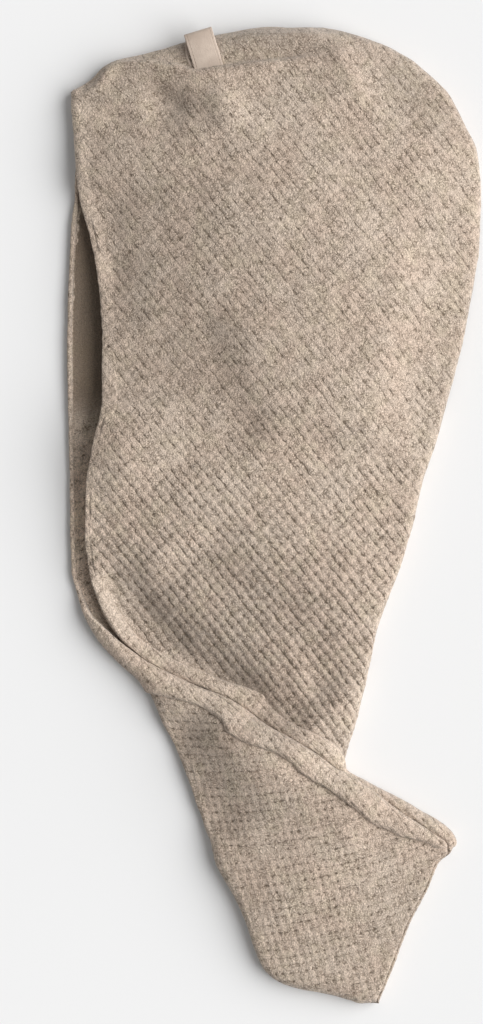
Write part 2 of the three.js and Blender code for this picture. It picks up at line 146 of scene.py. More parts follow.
# Patches of painted shade and painted light on the pile, laid along folds, edges and hems and
# where the loop's shadow falls. The rise of a patch is the share by which it is darker, or
# lighter below zero.
PAINTED_SHADE_AND_LIGHT: tuple[Fold, ...] = tuple(
    Fold(*row)
    for row in (
        (0.372, 0.321, 0.250, 0.062, -42, 0.34),
        (0.400, 0.530, 0.160, 0.090, -30, 0.16),
        (0.415, 0.190, 0.090, 0.028, -48, 0.16),
        (0.680, 0.235, 0.200, 0.070, -58, 0.16),
        (0.590, 0.290, 0.150, 0.040, 0, 0.09),
        (0.325, 0.460, 0.070, 0.070, 0, 0.22),
        (0.931, 0.853, 0.210, 0.070, -40, 0.20),
        (0.983, 0.502, 0.170, 0.040, 0, 0.24),
        (0.075, 0.780, 0.150, 0.090, 60, 0.11),
        (0.649, 0.930, 0.420, 0.030, 76, 0.10),
        (0.885, 0.020, 0.130, 0.035, 90, -0.36),
        (0.500, 0.030, 0.190, 0.022, 90, -0.60),
        (0.500, 0.065, 0.130, 0.024, 90, -0.30),
        (0.125, 0.890, 0.150, 0.032, 66, 0.14),
        (0.018, 0.640, 0.120, 0.022, -8, 0.14),
        (0.934, 0.190, 0.070, 0.024, -8, 0.16),
        (0.920, 0.396, 0.100, 0.022, -45, -0.03),
        (0.972, 0.289, 0.040, 0.012, -73, 0.50),
        (0.265, 0.640, 0.080, 0.050, 0, 0.16),
        (0.095, 0.389, 0.160, 0.025, -63, -0.25),
    )
)


class Crease(NamedTuple):
    """A line pressed into the cloth: places along and across, and rise at its middle.

    A rise below zero is a dent. It reaches so many millimetres to the line's right, looking
    from its first place to its last, and so many to its left. The step is how far the cloth
    drops on the left. The shelf is how far it keeps its rise on the right.
    """

    along: tuple[float, ...]
    across: tuple[float, ...]
    rise: float
    right: float
    left: float
    step: float = 0.0
    shelf: float = 0.0


CREASES: tuple[Crease, ...] = (
    Crease(
        (0.9250, 0.9430, 0.9570, 0.9658, 0.9672, 0.9628, 0.9600, 0.9540, 0.9575, 0.9620, 0.9700),
        (0.020, 0.068, 0.089, 0.111, 0.164, 0.227, 0.273, 0.312, 0.374, 0.460, 0.620),
        0.055,
        4.5,
        4.5,
        step=0.10,
    ),
    Crease(
        (0.470, 0.420, 0.385, 0.352, 0.325, 0.300, 0.280),
        (0.135, 0.157, 0.205, 0.285, 0.390, 0.470, 0.520),
        -0.25,
        10.0,
        13.0,
        shelf=9.0,
    ),
    Crease((0.460, 0.390, 0.320, 0.275), (0.200, 0.320, 0.490, 0.590), -0.30, 24.0, 48.0),
    Crease((0.850, 0.760, 0.680, 0.600), (0.050, 0.085, 0.090, 0.085), -0.27, 30.0, 66.0),
    Crease((0.840, 0.780, 0.720), (0.085, 0.105, 0.120), -0.09, 8.0, 15.0),
    Crease((0.720, 0.640, 0.555), (0.300, 0.370, 0.445), -0.14, 42.0, 15.0),
    Crease((0.935, 0.915, 0.900), (0.175, 0.265, 0.310), -0.19, 15.0, 8.0),
    Crease((0.936, 0.884), (0.325, 0.425), 0.11, 9.0, 9.0),
    Crease((0.988, 0.933, 0.908), (0.620, 0.687, 0.713), 0.12, 24.0, 9.0),
    Crease((0.800, 0.690, 0.560), (0.790, 0.765, 0.700), 0.17, 75.0, 17.0),
    Crease((0.410, 0.340, 0.280), (0.600, 0.590, 0.575), -0.08, 24.0, 16.0),
    Crease((0.310, 0.240, 0.160), (0.235, 0.305, 0.380), -0.15, 10.0, 24.0),
    Crease((0.300, 0.262, 0.225, 0.185), (0.310, 0.440, 0.580, 0.770), 0.13, 26.0, 12.0),
)


def eased(a: float, b: float, value: np.ndarray) -> np.ndarray:
    """Share of the way from a to b, eased at both ends.

    Args:
        a: Value at which the share is 0.
        b: Value at which the share is 1; may be below a.
        value: Values to place between them.

    Returns:
        Shares from 0 to 1.
    """
    t = np.clip((value - a) / (b - a), 0.0, 1.0)
    return t * t * (3.0 - 2.0 * t)


def rounded(distance: np.ndarray, reach: np.ndarray, fullness: float = 2.0) -> np.ndarray:
    """Quarter-round share of the full height at a distance in from an edge.

    Args:
        distance: Distances in from the edge.
        reach: How far in the round goes.
        fullness: Power of the round: 2 for a circle, more for a squarer one.

    Returns:
        Shares from 0 to 1.
    """
    t = np.clip(distance / reach, 0.0, 1.0)
    return np.maximum(1.0 - (1.0 - t) ** fullness, 0.0) ** (1.0 / fullness)


@dataclass(frozen=True)
class TowelShape:
    """The laid form shared by both cloths and their hems.

    Sizes are in millimetres. Places along the towel are shares of its length.
    """

    length: float = 612.0
    width: float = 260.0
    loft: float = 34.0
    cloth: float = 3.2
    gap: float = 0.4
    hem_gap: float = 0.3
    hem_width: float = 10.5
    hem_thick: float = 5.2
    fold_reach: float = 6.0
    fold_least: float = 0.2
    fold_fullness: float = 3.2
    fold_depth: float = 5.5
    end_round: float = 8.0
    steepest: float = 4.0
    probe: float = 0.35
    opening_top: float = 0.930
    opening_tip: float = 0.160
    tuck_start: float = 0.834
    tuck_in: float = 0.03
    tuck_out: float = 0.02
    tuck_under: float = 3.0
    roll_start: float = 0.424
    roll_end: float = 0.362
    roll_in: float = 0.03
    roll_extra: float = 0.5
    twist_start: float = 0.380
    seam_turned: float = 0.150
    seam_rest: float = 0.52
    seam_ease: float = 3.0
    seam_in: float = 0.005
    right_lift: float = 0.26
    dome_power: float = 0.85
    crease_end: float = 22.0
    crease_end_share: float = 0.45
    step_blend: float = 1.2
    step_reach: float = 16.0
    step_full: float = 1.5
    ridge_inset: float = 3.0
    ridge_reach: float = 14.0
    ridge_full: float = 4.0

    def column(self, name: str, along: np.ndarray) -> np.ndarray:
        """A column of the stations at places along the towel, without overshoot.

        Args:
            name: Field of Station to read.
            along: Shares of the length.

        Returns:
            The column's values there.
        """
        at = np.array([row.along for row in STATIONS])
        value = np.array([getattr(row, name) for row in STATIONS])
        slope = np.diff(value) / np.diff(at)
        before = np.concatenate([slope[:1], slope])
        after = np.concatenate([slope, slope[-1:]])
        same = before * after > 0
        total = np.where(same, before + after, 1.0)
        tangent = np.where(same, 2.0 * before * after / total, 0.0)
        i = np.clip(np.searchsorted(at, along, side="left") - 1, 0, len(at) - 2)
        span = at[i + 1] - at[i]
        t = (along - at[i]) / span
        u = 1.0 - t
        ends = value[i] * u * u * (1.0 + 2.0 * t) + value[i + 1] * t * t * (3.0 - 2.0 * t)
        return ends + span * t * u * (tangent[i] * u - tangent[i + 1] * t)

    def run(self, name: str, along: np.ndarray) -> np.ndarray:
        """How far a column moves across for each millimetre along.

        Args:
            name: Field of Station to read.
            along: Shares of the length.

        Returns:
            The slopes there, held to the steepest allowed.
        """
        step = self.probe / self.length
        low, high = np.maximum(along - step, 0.0), np.minimum(along + step, 1.0)
        moved = (self.column(name, high) - self.column(name, low)) * self.width
        return np.minimum(np.hypot(1.0, moved / ((high - low) * self.length)), self.steepest)

    def pressed(self, x: np.ndarray, y: np.ndarray) -> np.ndarray:
        """Height that the folds and dents add to the top.

        Args:
            x: Places across, in millimetres from the left.
            y: Places along, in millimetres from the tail.

        Returns:
            Heights in millimetres.
        """
        creased = sum(self.creased(crease, x, y) for crease in CREASES)
        return self.loft * self.spread_over(FOLDS, x, y) + creased

    def spread_over(self, folds: tuple[Fold, ...], x: np.ndarray, y: np.ndarray) -> np.ndarray:
        """Sum of the rises of long oval patches that fade outwards.

        Args:
            folds: The patches.
            x: Places across, in millimetres from the left.
            y: Places along, in millimetres from the tail.

        Returns:
            The sum at each place.
        """
        total = np.zeros(np.broadcast(x, y).shape)
        for fold in folds:
            turn = math.radians(fold.turn)
            dx, dy = x - fold.across * self.width, y - fold.along * self.length
            u = (dx * math.cos(turn) + dy * math.sin(turn)) / (fold.reach * self.width)
            v = (dy * math.cos(turn) - dx * math.sin(turn)) / (fold.spread * self.width)
            total = total + fold.rise * np.exp(-u * u - v * v)
        return total

    def creased(self, crease: Crease, x: np.ndarray, y: np.ndarray) -> np.ndarray:
        """Height that one crease adds to the top.

        Args:
            crease: The line pressed in.
            x: Places across, in millimetres from the left.
            y: Places along, in millimetres from the tail.

        Returns:
            Heights in millimetres, fading out at both ends of the line.
        """
        px = np.array(crease.across) * self.width
        py = np.array(crease.along) * self.length
        run = np.hypot(np.diff(px), np.diff(py))
        reached = np.concatenate([[0.0], np.cumsum(run)])
        near = np.full(np.broadcast(x, y).shape, FAR)
        place, side = np.zeros(near.shape), np.zeros(near.shape)
        for i, length in enumerate(run):
            dx, dy = (px[i + 1] - px[i]) / length, (py[i + 1] - py[i]) / length
            t = np.clip((x - px[i]) * dx + (y - py[i]) * dy, 0.0, length)
            gx, gy = x - px[i] - t * dx, y - py[i] - t * dy
            gap = np.hypot(gx, gy)
            closer = gap < near
            near = np.where(closer, gap, near)
            place = np.where(closer, reached[i] + t, place)
            side = np.where(closer, dx * gy - dy * gx, side)
        ends = np.minimum(place, reached[-1] - place)
        fade_over = min(self.crease_end, reached[-1] * self.crease_end_share)
        fade = eased(0.0, fade_over, ends)
        if crease.step:
            blend = self.step_blend
            beyond = eased(-blend, blend, side) * eased(self.step_reach, self.step_full, near)
            inset = np.maximum(-side, 0.0) - self.ridge_inset
            ridge = np.exp(-((inset / crease.right) ** 2)) * eased(blend, -blend, side)
            ridge = ridge * eased(self.ridge_reach, self.ridge_full, near)
            return fade * self.loft * (crease.rise * ridge - crease.step * beyond)
        reach = np.where(side > 0, crease.left, crease.right)
        near = np.where(side > 0, near, np.maximum(near - crease.shelf * fade, 0.0))
        return fade * self.loft * crease.rise * np.exp(-((near / reach) ** 2))


class Loft:
    """The outside of the laid towel, cut into rows that are measured along the cloth."""

    BEND_POINTS = 11
    FLAT_POINTS = 72
    SAMPLES = 241
    SEEN_EASE = 4.0
    HIDDEN_WEIGHT = 0.3
    SEEN_WEIGHT = 0.7
    FOLD_WEIGHT = 1.2
    FOLD_NEAR = 8.0

    def __init__(self, shape: TowelShape, places: np.ndarray) -> None:
        """Measure every row's loop.

        Args:
            shape: The towel's sizes.
            places: Places of the rows along the towel, in millimetres from the tail.
        """
        self.shape = shape
        self.y = places
        self.along = places / shape.length
        self.left = shape.column("left", self.along) * shape.width
        self.right = shape.column("right", self.along) * shape.width
        ends = np.minimum(places, shape.length - places) + shape.gap / 2
        self.cap = rounded(ends, np.array(shape.end_round))
        reach = shape.fold_reach * np.maximum(self.cap, shape.fold_least)
        self.left_reach = reach * shape.run("left", self.along)
        self.right_reach = reach * shape.run("right", self.along)
        self.x = self.places_across()
        self.top = self.measured(self.top_at(self.x))
        self.under = self.measured(self.under_at(self.x))
        self.top_reach = self.top[1][:, -1]
        self.under_reach = self.under[1][:, -1]
        self.around = self.top_reach + self.under_reach
        sewn = self.along > shape.opening_top
        slit = np.where(sewn, self.left, shape.column("slit", self.along) * shape.width)
        self.slant = np.where(sewn, shape.run("left", self.along), shape.run("slit", self.along))
        rows = zip(slit, self.x, self.top[1])
        self.upper = np.array([np.interp(s, x, a) for s, x, a in rows])
        rolled = eased(shape.roll_start, shape.roll_end, self.along)
        start, top = shape.tuck_start, shape.opening_top
        tucked = shape.tuck_under * eased(start, start + shape.tuck_in, self.along)
        tucked = tucked * eased(top, top - shape.tuck_out, self.along)
        opened = -tucked + (self.upper + tucked) * rolled
        self.lower = np.where(sewn, self.upper, opened)
        turned = eased(shape.twist_start, shape.seam_turned, self.along)
        self.seam = (-1.0 + (1.0 - shape.seam_rest) * turned) * self.under_reach
        loosened = eased(0.0, shape.seam_in, turned)
        self.seam_gap = shape.gap * (1.0 + shape.seam_ease * loosened)
        self.open = ~sewn & (self.along >= shape.opening_tip)
        rolling = eased(shape.opening_tip, shape.opening_tip + shape.roll_in, self.along)
        self.roll = 1.0 + shape.roll_extra * rolled * rolling

    def places_across(self) -> np.ndarray:
        """Places from the left fold to the right one, crowded on the folds."""
        bends = 1.0 - np.cos(np.linspace(0.0, math.pi / 2, self.BEND_POINTS))
        flat = np.linspace(0.0, 1.0, self.FLAT_POINTS)[1:-1]
        start, end = self.left + self.left_reach, self.right - self.right_reach
        return np.concatenate(
            [
                self.left[:, None] + self.left_reach[:, None] * bends,
                start[:, None] + (end - start)[:, None] * flat,
                self.right[:, None] - self.right_reach[:, None] * bends[::-1],
            ],
            axis=1,
        )

    def edges(self, x: np.ndarray) -> np.ndarray:
        """Both edges' rounds at places across each row."""
        full = self.shape.fold_fullness
        left = rounded(x - self.left[:, None], self.left_reach[:, None], full)
        return left * rounded(self.right[:, None] - x, self.right_reach[:, None], full)

    def top_at(self, x: np.ndarray) -> np.ndarray:
        """Height of the top at places across each row."""
        shape = self.shape
        q = np.clip((x - self.left[:, None]) / (self.right - self.left)[:, None], 0.0, 1.0)
        height = (shape.column("height", self.along) * shape.loft)[:, None]
        turned = eased(shape.twist_start, shape.seam_turned, self.along)[:, None]
        left = (shape.column("lift", self.along) * shape.loft)[:, None]
        right = shape.loft * shape.right_lift * (1.0 - turned) + left * turned
        lift = left + (right - left) * q * q * (3.0 - 2.0 * q)
        dome = np.maximum(height - shape.fold_depth - (left + right) / 2, 0.0)
        dome = dome * np.sin(math.pi * q) ** shape.dome_power
        rise = lift + dome + shape.pressed(x, self.y[:, None])
        return shape.fold_depth + self.cap[:, None] * rise * self.edges(x)

    def under_at(self, x: np.ndarray) -> np.ndarray:
        """Height of the underside at places across each row."""
        return self.shape.fold_depth * (1.0 - self.cap[:, None] * self.edges(x))

    def measured(self, z: np.ndarray) -> tuple[np.ndarray, np.ndarray]:
        """Heights with the length of cloth from the left fold to each of them."""
        steps = np.hypot(np.diff(self.x, axis=1), np.diff(z, axis=1))
        lengths = np.concatenate([np.zeros((len(z), 1)), np.cumsum(steps, axis=1)], axis=1)
        return z, lengths

    def points(self, lengths: np.ndarray) -> np.ndarray:
        """Points of the outside at lengths of cloth from each row's left fold.

        Args:
            lengths: One row of lengths for each row of the loft.

        Returns:
            Points in millimetres, rows by columns by three.
        """
        found = np.zeros((*lengths.shape, 3))
        for r, wanted in enumerate(lengths):
            a = np.where(wanted > self.top_reach[r], wanted - self.around[r], wanted)
            a = np.where(a < -self.under_reach[r], a + self.around[r], a)
            over = a >= 0
            for picked, (z, length) in ((over, self.top), (~over, self.under)):
                at = np.abs(a[picked])
                found[r, picked, 0] = np.interp(at, length[r], self.x[r])
                found[r, picked, 2] = np.interp(at, length[r], z[r])
            found[r, :, 1] = self.y[r]
        return found

    def picked(self, rows: np.ndarray) -> "Loft":
        """A loft of only some of the rows, one of them as often as it is named."""
        part = object.__new__(Loft)
        part.shape = self.shape
        for name in ("y", "x", "top_reach", "under_reach", "around"):
            setattr(part, name, getattr(self, name)[rows])
        part.top = tuple(value[rows] for value in self.top)
        part.under = tuple(value[rows] for value in self.under)
        return part

    def hem_width(self, roll: Union[float, np.ndarray]) -> np.ndarray:
        """Length of cloth that a hem takes up in each row, nothing where there is none."""
        return np.where(self.open, self.shape.hem_width * roll * self.slant, 0.0)

    def spread(self, start: np.ndarray, end: np.ndarray, count: int) -> np.ndarray:
        """Lengths from one side of a cloth to the other, closest on the top and its folds.

        Args:
            start: Length at which each row starts.
            end: Length at which each row ends.
            count: How many lengths each row has.

        Returns:
            The lengths, rows by count.
        """
        samples = np.linspace(0.0, 1.0, self.SAMPLES)
        middle = (samples[1:] + samples[:-1]) / 2
        a = start[:, None] + (end - start)[:, None] * middle
        near = np.full(a.shape, FAR)
        for fold in (-self.under_reach, np.zeros(len(a)), self.top_reach, self.around):
            near = np.minimum(near, np.abs(a - fold[:, None]))
        ease = self.SEEN_EASE
        seen = eased(-ease, ease, a) * eased(ease, -ease, a - self.top_reach[:, None])
        weight = self.HIDDEN_WEIGHT + self.SEEN_WEIGHT * seen
        weight = weight + self.FOLD_WEIGHT * np.exp(-((near / self.FOLD_NEAR) ** 2))
        total = np.concatenate([np.zeros((len(a), 1)), np.cumsum(weight, axis=1)], axis=1)
        total /= total[:, -1:]
        wanted = np.linspace(0.0, 1.0, count)
        shares = np.array([np.interp(wanted, row, samples) for row in total])
        return start[:, None] + (end - start)[:, None] * shares


def facing(across: np.ndarray, onwards: np.ndarray) -> np.ndarray:
    """Unit normals of the directions across and onwards at each point."""
    found = np.cross(across, onwards)
    return found / np.maximum(np.linalg.norm(found, axis=2, keepdims=True), 1e-12)


def normals_of(points: np.ndarray) -> np.ndarray:
    """Outward normals of a grid of points, rows along the towel by columns across."""
    return facing(np.gradient(points, axis=1), np.gradient(points, axis=0))


@dataclass(frozen=True)
class Weave:
    """The waffle cells: their pitches and directions on one cloth, in mm and degrees."""

    first_pitch: float
    first_turn: float
    second_pitch: float
    second_turn: float
    relief: float = 0.45
    bow: float = 0.0
    bow_from: float = 0.0
    second_groove: float = 0.8
    groove_share: float = 0.45

    def cells(self, across: np.ndarray, along: np.ndarray) -> tuple[np.ndarray, np.ndarray]:
        """Cell counts at places on the flat cloth."""
        first, second = math.radians(self.first_turn), math.radians(self.second_turn)
        u = (across * math.cos(first) + along * math.sin(first)) / self.first_pitch
        bowed = self.bow * (across - self.bow_from) ** 2 / 2
        v = (across * math.cos(second) + along * math.sin(second) + bowed) / self.second_pitch
        return u, v

    def puff(self, u: np.ndarray, v: np.ndarray) -> np.ndarray:
        """Height of the puffed cells, in millimetres about their mean."""
        first, second = np.cos(2 * math.pi * u), np.cos(2 * math.pi * v)
        grooves = 0.5 * (first + self.second_groove * second)
        both = 0.25 * (1 + first) * (1 + second)
        return -self.relief * (self.groove_share * grooves + (1 - self.groove_share) * both)


BODY_WEAVE = Weave(5.15, 38.0, 5.68, -47.0)
TAIL_WEAVE = Weave(4.85, 16.0, 5.2, -90.0, 0.28, 0.0028, 85.0)


def ring_mesh(
    name: str,
    points: np.ndarray,
    cells: np.ndarray,
    worn: dict[str, np.ndarray],
    share: int = 0,
) -> bpy.types.Mesh:
    """A closed mesh from rings of points that each end on their first point.

    Args:
        name: Name of the mesh.
        points: Points in millimetres in the row frame, rings by points by three.
        cells: Cloth coordinates of the same points, rings by points by two.
        worn: Shares at the same points by name, kept as attributes for the material.
        share: Outer points to each inner one in a ring, or 0 for a solid roll.

    Returns:
        The mesh, its rings welded and both ends closed.
    """
    rows, columns = points.shape[:2]
    grid = bmesh.new()
    bmesh.ops.create_grid(grid, x_segments=columns - 1, y_segments=rows - 1, size=0.5)
    mesh = bpy.data.meshes.new(name)
    grid.to_mesh(mesh)
    grid.free()
    flat = np.empty(len(mesh.vertices) * 3)
    mesh.vertices.foreach_get("co", flat)
    flat = flat.reshape(-1, 3)
    column = np.rint((flat[:, 0] + 0.5) * (columns - 1)).astype(int)
    row = np.rint((flat[:, 1] + 0.5) * (rows - 1)).astype(int)
    mesh.vertices.foreach_set("co", (points[row, column] * MM).ravel())
    corner = np.empty(len(mesh.loops), dtype=int)
    mesh.loops.foreach_get("vertex_index", corner)
    layer = mesh.uv_layers.new(name="cloth")
    layer.data.foreach_set("uv", cells[row, column][corner].ravel())
    for kind, values in worn.items():
        layer = mesh.attributes.new(kind, "FLOAT", "POINT")
        layer.data.foreach_set("value", values[row, column])
    order = np.empty((rows, columns), dtype=int)
    order[row, column] = np.arange(len(row))
    close_rings(mesh, order, share)
    mesh.polygons.foreach_set("use_smooth", np.ones(len(mesh.polygons), dtype=bool))
    mesh.update()
    return mesh


def close_rings(mesh: bpy.types.Mesh, order: np.ndarray, share: int) -> None:
    """Weld each ring's last point to its first, and close both ends.

    Args:
        mesh: The open grid.
        order: Vertex of each ring and place.
        share: Outer points to each inner one in a ring, or 0 for a solid roll.
    """
    bm = bmesh.new()
    bm.from_mesh(mesh)
    bm.verts.ensure_lookup_table()
    at = np.array(bm.verts[:], dtype=object)[order]
    ends = [at[0], at[-1]]
    bmesh.ops.weld_verts(bm, targetmap=dict(zip(at[:, -1], at[:, 0])))
    if share:
        inner_count = (len(order[0]) - 2) // (share + 1)
        inner_at = len(order[0]) - 2
        for ring in ends:
            for i in range(inner_count):
                outer = ring[i * share : (i + 1) * share + 1]
                bm.faces.new([*outer, ring[inner_at - i - 1], ring[inner_at - i]])
    else:
        rim = [edge for edge in bm.edges if edge.is_boundary]
        bmesh.ops.holes_fill(bm, edges=rim, sides=0)
    bmesh.ops.recalc_face_normals(bm, faces=bm.faces[:])
    bm.to_mesh(mesh)
    bm.free()


def placed(name: str, mesh: bpy.types.Mesh, material: bpy.types.Material) -> bpy.types.Object:
    """An object at the origin that shows a mesh in a material."""
    piece = bpy.data.objects.new(name, mesh)
    bpy.context.scene.collection.objects.link(piece)
    mesh.materials.append(material)
    return piece


def in_frame(shape: TowelShape, points: np.ndarray) -> np.ndarray:
    """Points moved from the towel's own corner to the row frame, in millimetres."""
    return points - np.array([shape.width / 2, shape.length / 2, 0.0])


def soft_noise(points: np.ndarray, size: float, seed: float) -> np.ndarray:
    """Smooth noise from -1 to 1 over points in millimetres, at a feature size."""
    flat = points.reshape(-1, 3) / size + seed
    values = [noise.noise(Vector(p)) for p in flat.tolist()]
    return np.array(values).reshape(points.shape[:-1])


class Strand:
    """A shader value that takes part in Python expressions and adds the nodes for them."""

    def __init__(self, graph: "Graph", socket: bpy.types.NodeSocket) -> None:
        """Wrap an output socket.

        Args:
            graph: The material's nodes.
            socket: The output that holds the value.
        """
        self.graph = graph
        self.socket = socket

    def math(self, operation: str, *others: "Value", clamp: bool = False) -> "Strand":
        """The result of one Math node on this value and others.

        Args:
            operation: The node's operation.
            others: Its other values.
            clamp: Whether the result stays between 0 and 1.

        Returns:
            The node's output.
        """
        values = dict(enumerate((self, *others)))
        settings = {"operation": operation, "use_clamp": clamp}
        return self.graph.add("ShaderNodeMath", settings, values)

    def __add__(self, other: "Value") -> "Strand":
        """Sum of two values."""
        return self.math("ADD", other)

    __radd__ = __add__

    def __sub__(self, other: "Value") -> "Strand":
        """Difference of two values."""
        return self.math("SUBTRACT", other)

    def __rsub__(self, other: "Value") -> "Strand":
        """Difference of a number and this value."""
        return self.math("MULTIPLY_ADD", -1.0, other)

    def __mul__(self, other: "Value") -> "Strand":
        """Product of two values."""
        return self.math("MULTIPLY", other)

    __rmul__ = __mul__

    def __pow__(self, power: float) -> "Strand":
        """This value raised to a power."""
        return self.math("POWER", power)

    def wave(self) -> "Strand":
        """Share that is 1 at whole numbers and 0 half way between them."""
        return (self * (2 * math.pi)).math("COSINE") * 0.5 + 0.5

    def above(self, low: float) -> "Strand":
        """A share of 0 to 1 squeezed into low to 1."""
        return self * (1.0 - low) + low

    def eased(self, low: float, high: float) -> "Strand":
        """Share of the way from low to high, eased at both ends."""
        settings = {"interpolation_type": "SMOOTHSTEP"}
        return self.graph.add("ShaderNodeMapRange", settings, {0: self, 1: low, 2: high})


Value = Union[Strand, float, tuple]


class Mottle(NamedTuple):
    """A noise in patches: features to a unit, noise at shares 0 and 1, and its detail."""

    scale: float
    low: float
    high: float
    detail: float = 2.0


class Graph:
    """The nodes of one material."""

    NOISE_ROUGHNESS = 0.6

    def __init__(self, name: str) -> None:
        """Start a material that holds only its output.

        Args:
            name: Name of the material.
        """
        self.material = bpy.data.materials.new(name)
        self.material.use_nodes = True
        self.tree = self.material.node_tree
        self.tree.nodes.clear()

    def add(
        self, kind: str, settings: dict, values: dict, output: Union[int, str] = 0
    ) -> Strand:
        """Add a node.

        Args:
            kind: The node's type.
            settings: Its settings, set before its sockets.
            values: Values or links of its inputs, by place or name.
            output: Which of its outputs to give back.

        Returns:
            That output.
        """
        node = self.tree.nodes.new(kind)
        for name, value in settings.items():
            setattr(node, name, value)
        for key, value in values.items():
            if isinstance(value, Strand):
                self.tree.links.new(value.socket, node.inputs[key])
            else:
                node.inputs[key].default_value = value
        return Strand(self, node.outputs[output])

    def grain(
        self, where: Strand, scale: float, detail: float = 2.0, output: Union[int, str] = 0
    ) -> Strand:
        """Noise from 0 to 1, in as many features to a unit as the scale says."""
        values = {"Vector": where, "Scale": scale, "Detail": detail}
        values["Roughness"] = self.NOISE_ROUGHNESS
        return self.add("ShaderNodeTexNoise", {}, values, output)

    def patches(self, where: Strand, mottle: Mottle) -> Strand:
        """A share from 0 to 1 in patches of noise."""
        return self.grain(where, mottle.scale, mottle.detail).eased(mottle.low, mottle.high)

    def vector(self, operation: str, first: Value, second: Value) -> Strand:
        """The result of one Vector Math node on two vectors."""
        return self.add("ShaderNodeVectorMath", {"operation": operation}, {0: first, 1: second})

    def joined(self, x: Value, y: Value, z: Value) -> Strand:
        """The vector of three values."""
        return self.add("ShaderNodeCombineXYZ", {}, {0: x, 1: y, 2: z})

    def parted(self, vector: Strand) -> tuple[Strand, Strand]:
        """The first two values of a vector."""
        first = self.add("ShaderNodeSeparateXYZ", {}, {0: vector})
        return first, Strand(self, first.socket.node.outputs[1])

    def worn(self, name: str) -> Strand:
        """A share that the mesh holds at its points."""
        return self.add("ShaderNodeAttribute", {"attribute_name": name}, {}, "Fac")

    def wander(self, where: Strand, scale: float, reach: float) -> Strand:
        """A vector that wanders up to about half the reach each way."""
        drift = self.grain(where, scale, output="Color")
        drift = self.vector("SUBTRACT", drift, (0.5, 0.5, 0.5))
        return self.vector("MULTIPLY", drift, (2 * reach, 2 * reach, 0.0))

    def cell_edge(self, where: Strand, scale: float, jitter: float) -> Strand:
        """Distance from the edge of puffed cells, in cell widths."""
        settings = {"feature": "DISTANCE_TO_EDGE"}
        values = {"Vector": where, "Scale": scale, "Randomness": jitter}
        return self.add("ShaderNodeTexVoronoi", settings, values, "Distance")

    def mix(self, share: Value, first: Value, second: Value, blend: str = "MIX") -> Strand:
        """A colour between two others.

        Args:
            share: Share of the second.
            first: The colour at share 0.
            second: The colour at share 1.
            blend: How the second goes over the first.

        Returns:
            The mixed colour.
        """
        settings = {"data_type": "RGBA", "blend_type": blend}
        return self.add("ShaderNodeMix", settings, {0: share, 6: first, 7: second}, 2)

    def bump(self, height: Strand, distance: float, under: Union[Strand, None] = None) -> Strand:
        """A normal bent by a height, on top of another one."""
        values = {"Height": height, "Distance": distance, "Strength": 1.0}
        if under:
            values["Normal"] = under
        return self.add("ShaderNodeBump", {}, values)

    def finish(self, values: dict) -> bpy.types.Material:
        """Wire the surface to the output.

        Args:
            values: The surface's inputs by name.

        Returns:
            The material.
        """
        surface = self.add("ShaderNodeBsdfPrincipled", {}, values)
        node = self.tree.nodes.new("ShaderNodeOutputMaterial")
        self.tree.links.new(surface.socket, node.inputs["Surface"])
        return self.material


class Lattice(NamedTuple):
    """Where a material is on the cloth, with waves that peak on the lines between cells."""

    graph: Graph
    place: Strand
    cloth: Strand
    first: Strand
    second: Strand
    rib: Strand
    rung: Strand
    plain: Strand


